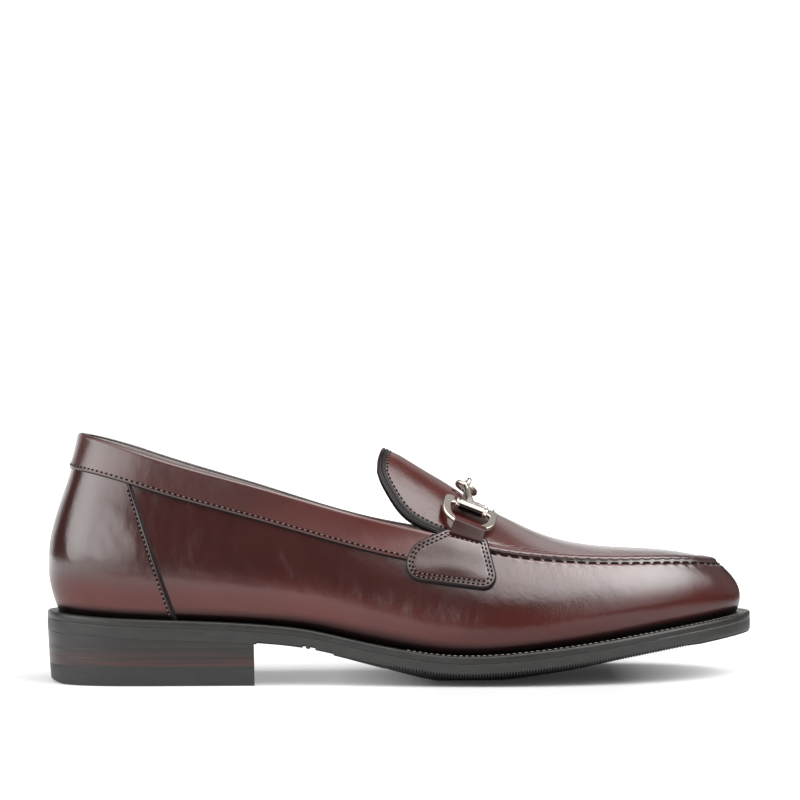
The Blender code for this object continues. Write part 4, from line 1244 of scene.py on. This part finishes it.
def flat_piece(name, outlines, thick, bevel, finish, node, matrix):
    """A flat piece from its outline and the hole in it, with rounded edges."""
    curve = bpy.data.curves.new(name, "CURVE")
    curve.dimensions, curve.fill_mode = "2D", "BOTH"
    curve.extrude, curve.bevel_depth, curve.bevel_resolution = (thick / 2 - bevel) * MM, bevel * MM, 3
    curve.offset = -bevel * MM
    for outline in map(rounded_outline, outlines):
        line = curve.splines.new("POLY")
        line.points.add(len(outline) - 1)
        for point, (x, y) in zip(line.points, outline):
            point.co = (x * MM, y * MM, 0.0, 1.0)
        line.use_cyclic_u = True
    holder = bpy.data.objects.new(name + "_curve", curve)
    bpy.context.scene.collection.objects.link(holder)
    ready = bpy.context.evaluated_depsgraph_get()
    mesh = bpy.data.meshes.new_from_object(holder.evaluated_get(ready))
    bpy.data.objects.remove(holder)
    bpy.data.curves.remove(curve)
    mesh.transform(matrix)
    return add_piece(name, mesh, [finish], [node], 40.0)


for side, word in SIDES:
    along, down, out = bit_axes(side)
    at = on_side(BARREL_CENTRE, side)
    bit_bar(word, side)
    flat_piece("d_ring_metal_" + word, (RING_OUTLINE, RING_HOLE), RING_THICK, 0.5,
               METAL, "d_ring_" + word, frame_at(at, along, down))
    bar = (RING_OUTLINE["height"].max() + RING_HOLE["height"].max()) / 2
    strap_at = at + along * STRAP_SHIFT
    strap = flat_piece("strap_leather_" + word, (STRAP_OUTLINE, STRAP_HOLE), STRAP_WIDTH, 0.3,
                       STRAP, "strap_loop_" + word,
                       frame_at(strap_at + down * bar, down, out))
    # Its free end twists down towards its back edge
    spots = vertex_values(strap, "co") / MM
    twist = STRAP_TWIST * (STRAP_WIDTH / 2 - (spots - strap_at) @ along)
    twist *= smooth_step((spots - at) @ down - bar, 1.5, 5.0)
    strap.data.vertices.foreach_set("co", ((spots - over(twist) * out) * MM).ravel())
    burnish(strap)

# Stitches on the upper
BAND_SEAM_UP = 1.6
band_end = turn_limit(float(band_level(throat_turn, BAND_SEAM_UP)), BAND_SEAM_FRONT)
band_turns = np.linspace(-1, 1, 361) * band_end
band_seam_lift = band_lift(band_turns, BAND_LIFT, BAND_SEAM_UP) + 0.02
sewn_rows("band_seam", [level_line(band_turns, band_level(band_turns, BAND_SEAM_UP), band_seam_lift)])
sewn_rows("counter_seam", counter_lines)
binding_row = slice(4, len(binding_edge) - 4)
beside_binding = (binding_edge + 3.9 * binding_in)[binding_row]
found = [surface.find_nearest(Vector(point) * MM) for point in beside_binding]
binding_line = np.array([place for place, *_ in found]) / MM
binding_up = binding_normal[binding_row]
sewn_rows("binding_seam", [(binding_line + 0.08 * binding_up, binding_up)])

# Raised apron seam: a roll with a fine row above it and a heavy hand-sewn row below it
ROLL_PROFILE = [
    (-1.95, -0.05), (-1.65, 0.25), (-1.2, 0.5), (-0.6, 0.7), (0.1, 0.8), (0.7, 0.8), (1.15, 0.68),
    (1.45, 0.38), (1.58, 0.0), (1.5, -0.5), (1.0, -1.2), (-0.8, -1.2),
]
seam_start = top_turn(RIDGE_START_X + 2.0)
fine_turns = np.linspace(seam_start, FULL - seam_start, 1801)
run = running_length(top_edge(fine_turns))
even = np.interp(np.linspace(0, run[-1], 1101), run, fine_turns)
roll_line, roll_up = top_edge(even), seam_up(even)
roll_out = unit(np.cross(unit(np.gradient(roll_line, axis=0)), roll_up))
pull = (0.5 + 0.5 * seam_wave(even)) ** 3
rings = []
for out, up in ROLL_PROFILE:
    pulled = smooth_step(out, 0.75, 1.5) * pull
    rings.append(roll_line + over(out - 0.3 * pulled) * roll_out + over(up - 0.08 * pulled) * roll_up)
roll_mesh = new_mesh(np.stack(rings, axis=1), capped_faces(len(even), len(rings)))
roll = add_piece("apron_seam_roll", outward(roll_mesh), [CALF], (), 60.0)
burnish(roll)


def wall_line(distance, lift):
    """Line on the wall at a distance below the apron seam, with its normals."""
    normals = unit(roll_up + roll_out)
    return wall(even, 1 - distance / wall_height(even)) + lift * normals, normals


def apron_line(distance, lift):
    """Line on the apron at a distance from its seam, with its normals."""
    side = np.where(even < np.pi, -1.0, 1.0)
    turn = np.minimum(even, FULL - even)
    reach = np.maximum(length_of(top_edge(turn) - top_edge(FULL - turn)) / 2, distance + 0.01)
    return apron(turn, side * (1 - distance / reach)) + lift * roll_up, roll_up


def apron_stitches(name, line, parts, size, finish):
    """Stitches at the apron seam's pitch along parts of a line."""
    rows = [tuple(values[part] for values in line) for part in parts]
    add_piece(name, stitch_mesh(rows, SEAM_PITCH, size), [finish])


sides_of_toe = (even < np.pi - 0.2, even > np.pi + 0.2)
apron_stitches("apron_heavy_stitches", wall_line(2.0, 0.12), [slice(10, -10)], (3.6, 1.1, 0.8), DARK_THREAD)
apron_stitches("apron_cross_stitches", wall_line(2.3, 0.22), [slice(18, -2)], (1.0, 0.4, 0.4), PINK_THREAD)
apron_stitches("apron_fine_stitches", apron_line(3.6, 0.1), sides_of_toe, (2.8, 0.4, 0.34), PINK_THREAD)

# Sole
TOOTH, TOOTH_DEPTH, TEETH_FROM, TEETH_TO = 1.16, 1.1, -7.0, 127.0
STEP_END_X, STEP_DEPTH, NOTCH_DEPTH, NOTCHES = -27.5, 0.5, 0.75, ((-40.3, -38.9), (-37.4, -35.0))


def ribbed(x):
    """Where along the forepart the sole's edge is toothed, from 0 to 1."""
    return smooth_step(x, TEETH_FROM, TEETH_FROM + 6) * (1 - smooth_step(x, TEETH_TO - 12, TEETH_TO))


def tooth(x):
    """Depth of the cut between the teeth."""
    wave = np.abs(2 * np.mod(x / TOOTH, 1.0) - 1)
    return ribbed(x) * TOOTH_DEPTH * np.clip(1.5 * wave - 0.25, 0.0, 1.0)


def waist_cut(x):
    """Small step and notches under the waist."""
    notch = sum((x > start) & (x < end) for start, end in NOTCHES)
    return np.where(x > BREAST_X + 1.0, STEP_DEPTH * (x < STEP_END_X) + NOTCH_DEPTH * notch, 0.0)


def even_turns(count, stop=np.pi):
    """Turns from the heel along the lateral edge, evenly spaced along it."""
    fine = np.linspace(0, stop, 4000)
    path = running_length(sole_edge(fine))
    return np.interp(np.linspace(0, path[-1], count), path, fine)


def layer_mesh(turns, levels, across, slant=1.0):
    """A layer with the sole's outline: levels run down, each an inset and a height by x and share."""
    turns = turns[1:-1] if np.sin(turns[-1]) < 1e-6 else turns[1:]
    shares = np.array(across)
    rims, points, faces = [], [], []

    def add(block):
        start = sum(len(b) for b in points)
        points.append(block.reshape(-1, 3))
        return start + np.arange(block.shape[0] * block.shape[1]).reshape(block.shape[:2])

    for inset, height in levels:
        lateral, medial = (sole_edge(side, inset(side)) for side in (turns, FULL - turns * slant))
        rows = lateral[:, None] + (medial - lateral)[:, None] * over((shares + 1) / 2)
        rows[..., 2] = height(rows[..., 0], np.broadcast_to(shares, rows.shape[:2]))
        rims.append(rows)
    top, bottom = add(rims[0]), add(rims[-1])
    middle = [add(np.stack([r[:, 0], r[:, -1]], axis=1)) for r in rims[1:-1]]
    front = [add(r[[-1, 0]][:, 1:-1]) for r in rims[1:-1]]
    for grid in (top, bottom):
        quads = np.stack([grid[:-1, :-1], grid[:-1, 1:], grid[1:, 1:], grid[1:, :-1]], axis=-1)
        faces += quads.reshape(-1, 4).tolist()

    def loop(number):
        if number in (0, len(rims) - 1):
            grid = top if number == 0 else bottom
            return [*grid[:, 0], *grid[-1, 1:-1], *grid[::-1, -1], *grid[0, 1:-1][::-1]]
        sides_at, caps = middle[number - 1], front[number - 1]
        return [*sides_at[:, 0], *caps[0], *sides_at[::-1, 1], *caps[1][::-1]]

    for number in range(len(rims) - 1):
        high, low = loop(number), loop(number + 1)
        faces += np.stack([high, np.roll(high, -1), np.roll(low, -1), low], axis=-1).tolist()
    return outward(new_mesh(np.concatenate(points), faces))


def constant(value):
    return lambda *_: value


def side_height(depth):
    return lambda x, share: welt_top(x) - depth


def sole_bottom(x, share):
    """Underside with its crown, a recess inside the toothed edge, and the teeth."""
    reach = np.abs(share)
    crown = sole_crown(x) * (1 - 0.2 * smooth_step(x, 70, 100)) * (1 - reach ** 3)
    recess = smooth_step(reach, 0.55, 0.75) * (1 - smooth_step(reach, 0.915, 0.945))
    cut = np.where(reach > 0.94, tooth(x), 1.1 * TOOTH_DEPTH * ribbed(x) * recess)
    return np.maximum(welt_top(x) - SOLE_THICK - crown, 0.0) + cut + waist_cut(x)


def sole_rim(x, share):
    """Lower rim of the sole's side, above its rounded edge."""
    lip = np.where(x < BREAST_X, 0.1, 0.5)
    return welt_top(x) - SOLE_THICK + lip + 0.85 * tooth(x) + waist_cut(x)


def sole_rim_inset(turn):
    return np.where(sole_edge(turn)[..., 0] < BREAST_X, 0.14, 0.45)


SOLE_SHARES = (-1.0, -0.95, -0.91, -0.75, -0.4, 0.0, 0.4, 0.75, 0.91, 0.95, 1.0)
# Upper part of the sole's side: inset and depth below the welt's top
SOLE_SIDE = [
    (0.2, WELT_THICK + 0.02), (0.08, WELT_THICK + 0.06), (0.03, WELT_THICK + 0.2),
    (0.0, WELT_THICK + 0.6), (0.0, SOLE_THICK - 1.9),
]
sole_levels = [(constant(inset), side_height(depth)) for inset, depth in SOLE_SIDE]
sole_levels += [(constant(0.1), sole_rim), (sole_rim_inset, sole_bottom)]
outsole = add_piece("outsole_rubber", layer_mesh(even_turns(2100), sole_levels, SOLE_SHARES),
                    [SOLE, UNDER_SHADE], ["outsole"], 35.0)
# painted shade: faces that look down get the near-black finish
for polygon in outsole.data.polygons:
    polygon.material_index = 1 if polygon.normal.z < -0.5 else 0

# Welt: inset and depth around its section, its stitches, and the pale line of its joint at the toe
WELT_PROFILE = [
    (WELT_REACH, 0.0), (5.5, 0.0), (1.6, 0.0), (0.75, 0.05), (0.4, 0.25), (0.12, 0.7), (0.03, 1.2),
    (0.02, WELT_THICK - 0.3), (0.06, WELT_THICK - 0.08), (0.2, WELT_THICK - 0.02), (WELT_REACH, WELT_THICK),
]
WELT_SEAM_X, WELT_SEAM_END, JOINT_SHARE = 2.0, 0.52, 0.855
welt_turns = even_turns(420)
welt_turns = np.concatenate([welt_turns, FULL - welt_turns[-2:0:-1]])
welt_points = np.stack([edge_line(welt_turns, inset, depth) for inset, depth in WELT_PROFILE], axis=1)
welt_faces = grid_faces(*welt_points.shape[:2], closed=True, looped=True)
add_piece("welt_strip", outward(new_mesh(welt_points, welt_faces)), [WELT], ["welt"], 40.0)
welt_line = edge_line(np.linspace(sole_turn(WELT_SEAM_X), FULL - turn_of(WELT_SEAM_END), 900), 2.6, -0.1)
upward = np.array([0.0, 0.0, 1.0])
welt_seam = (welt_line, np.broadcast_to(upward, welt_line.shape))
add_piece("welt_stitches", stitch_mesh([welt_seam], 2.45, (1.4, 0.55, 0.4)), [CREAM_THREAD])
joint_turns = np.linspace(turn_of(JOINT_SHARE), FULL - turn_of(JOINT_SHARE), 260)
joint_line = edge_line(joint_turns, 0.05, WELT_THICK)
joint_profile = [(0.14 * np.cos(a), 0.17 * np.sin(a)) for a in np.linspace(0, FULL, 8, endpoint=False)]
joint_shape = tube(joint_line, sole_normal(joint_turns), upward, joint_profile)
add_piece("joint_line", outward(new_mesh(*joint_shape)), [PALE_LINE])

# Heel
HEEL_GAP, HEEL_BEVEL, BEVEL_START, BEVEL_END = 0.05, 1.7, 141.0, 151.0
# Rounded lip of a lift: distance from its face and inset
LIP = [(0.0, 0.05), (0.05, 0.01), (0.2, 0.0)]


def lift_top(high, cut):
    """Height at a distance below a lift's top face; the uppermost one follows the sole."""
    return side_height(SOLE_THICK + HEEL_GAP + cut) if high is None else constant(high - cut)


def lift_foot(low, lift):
    """Height at a distance above a lift's lower face; the one on the floor is bevelled at the back."""
    bevel = HEEL_BEVEL if low == 0 else 0.0
    return lambda x, share: low + lift + bevel * smooth_step(-x, BEVEL_START, BEVEL_END)


heel_turns = even_turns(220, sole_turn(BREAST_X))
for name, low, high, low_inset, high_inset, slot in HEEL_LIFTS:
    heel_levels = [(constant(high_inset + inset), lift_top(high, cut)) for cut, inset in LIP]
    heel_levels += [(constant(low_inset + inset), lift_foot(low, cut)) for cut, inset in LIP[::-1]]
    add_piece(name + "_fine", layer_mesh(heel_turns, heel_levels, np.linspace(-1, 1, 7), BREAST_SLANT),
              [HEEL_FINISH[slot]], [name], 40.0)

# Floor: paper with painted light, a glow that lightens its shadows beyond the toe and under the arch; it
# also glows farther off, and is dark in front
FLOOR_REACH, FLOOR_Z = 6, -0.0002
corners = [(x * FLOOR_REACH, y * FLOOR_REACH, FLOOR_Z) for x, y in ((-1, -1), (1, -1), (1, 1), (-1, 1))]
floor_mesh = bpy.data.meshes.new("floor")
floor_mesh.from_pydata(corners, [], [(0, 1, 2, 3)])
paper = new_finish("paper")
spot = paper.split(paper.place)
lit = paper.span(spot["Y"], -0.50, -0.385)
lit = paper.math("MAXIMUM", lit, paper.span(spot["X"], -0.3, -0.7))
aside = paper.math("MULTIPLY_ADD", spot["Y"], -0.16, spot["X"])
shown = paper.mix(paper.span(aside, 0.20, 0.30), (1.0, 1.0, 1.0), (0.05, 0.05, 0.05))
white = paper.mix(1.0, shown, (0.53, 0.53, 0.53), "MULTIPLY")
paper.set(Base_Color=paper.mix(lit, (0.02, 0.02, 0.02), white), Roughness=0.9, Specular_IOR_Level=0.1)
paper.set(Emission_Color=paper.mix(lit, (0.0, 0.0, 0.0), shown))
# painted light: glow that lightens the floor's shadows beyond the toe and under the arch
painted_light_beyond_toe = paper.span(spot["X"], 0.09, 0.14, 0.02, 0.47)
painted_light_under_arch = paper.span(spot["X"], -0.028, 0.016, 0.32, 0.0)
far_off = paper.span(paper.measure("LENGTH", paper.place), 0.30, 0.8, 0.0, 0.4)
paper.set(Emission_Strength=paper.math("ADD", paper.math("ADD", far_off, painted_light_beyond_toe), painted_light_under_arch))
floor_mesh.materials.append(paper.owner)
floor = bpy.data.objects.new("floor", floor_mesh)
bpy.context.scene.collection.objects.link(floor)

# Light from all round
world = bpy.data.worlds.new("studio")
bpy.context.scene.world = world
studio = Nodes(world)
way = studio.split(studio.way)


def glow(turn, rise, strength, wide, power):
    """Soft light from a direction: degrees round from the camera to the toe, and up from the floor."""
    turn, rise = np.radians(turn), np.radians(rise)
    aim = (np.sin(turn) * np.cos(rise), -np.cos(turn) * np.cos(rise), np.sin(rise))
    share = studio.span(studio.measure("DOT_PRODUCT", studio.way, aim), wide, 1.0)
    return studio.math("MULTIPLY", studio.math("POWER", share, power), strength)


def faded(light, value, low, high):
    """A light faded out where a value passes from high to low."""
    return studio.math("MULTIPLY", light, studio.span(value, low, high, smooth=True))


# Small panels: degrees round and up, strength, cosine of the reach, and power of the fall-off
PANELS = [
    (40, 20, 1.7, 0.82, 1.0),
    (-2, 50, 2.1, 0.953, 1.0),
    (168, 34, 0.85, 0.92, 1.0),
    (0, 87, 2.0, 0.72, 2.0),
    (-150, 8, 1.3, 0.92, 1.0),
    (105, 12, 0.35, 0.6, 1.0),
]
AMBIENT = 0.015
key_light = faded(glow(62, 54, 6.3, 0.6, 3.0), way["Y"], 0.35, 0.1)
heel_light = faded(glow(-72, 18, 3.8, 0.5, 2.0), studio.math("SUBTRACT", way["Y"], way["Z"]), 0.0, -0.22)
counter_light = faded(glow(-30, 9, 1.75, 0.93, 1.0), way["X"], -0.23, -0.36)
left_light = faded(studio.math("ADD", heel_light, counter_light), way["Z"], -0.10, 0.14)
backdrop = studio.span(way["Y"], 0.95, 0.981, 0.0, 1.05, smooth=True)
total = AMBIENT
for light in (key_light, left_light, backdrop, *[glow(*panel) for panel in PANELS]):
    total = studio.math("ADD", light, total)
studio.set(Strength=total, Color=(1.0, 1.0, 1.0, 1.0))

# Camera
ROLL_ANGLE = np.radians(0.6)
camera = bpy.data.cameras.new("camera")
camera.lens, camera.sensor_width, camera.sensor_fit = 126.18, 36.0, "HORIZONTAL"
camera.clip_start, camera.clip_end = 0.05, 60.0
eye = bpy.data.objects.new("camera", camera)
eye.matrix_world = Matrix((
    (np.cos(ROLL_ANGLE), np.sin(ROLL_ANGLE), 0.0, 0.00124),
    (0.0, 0.0, -1.0, -1.2),
    (-np.sin(ROLL_ANGLE), np.cos(ROLL_ANGLE), 0.0, 0.11807),
    (0.0, 0.0, 0.0, 1.0),
))
bpy.context.scene.collection.objects.link(eye)
bpy.context.scene.camera = eye
bpy.context.scene.view_settings.view_transform = "Standard"
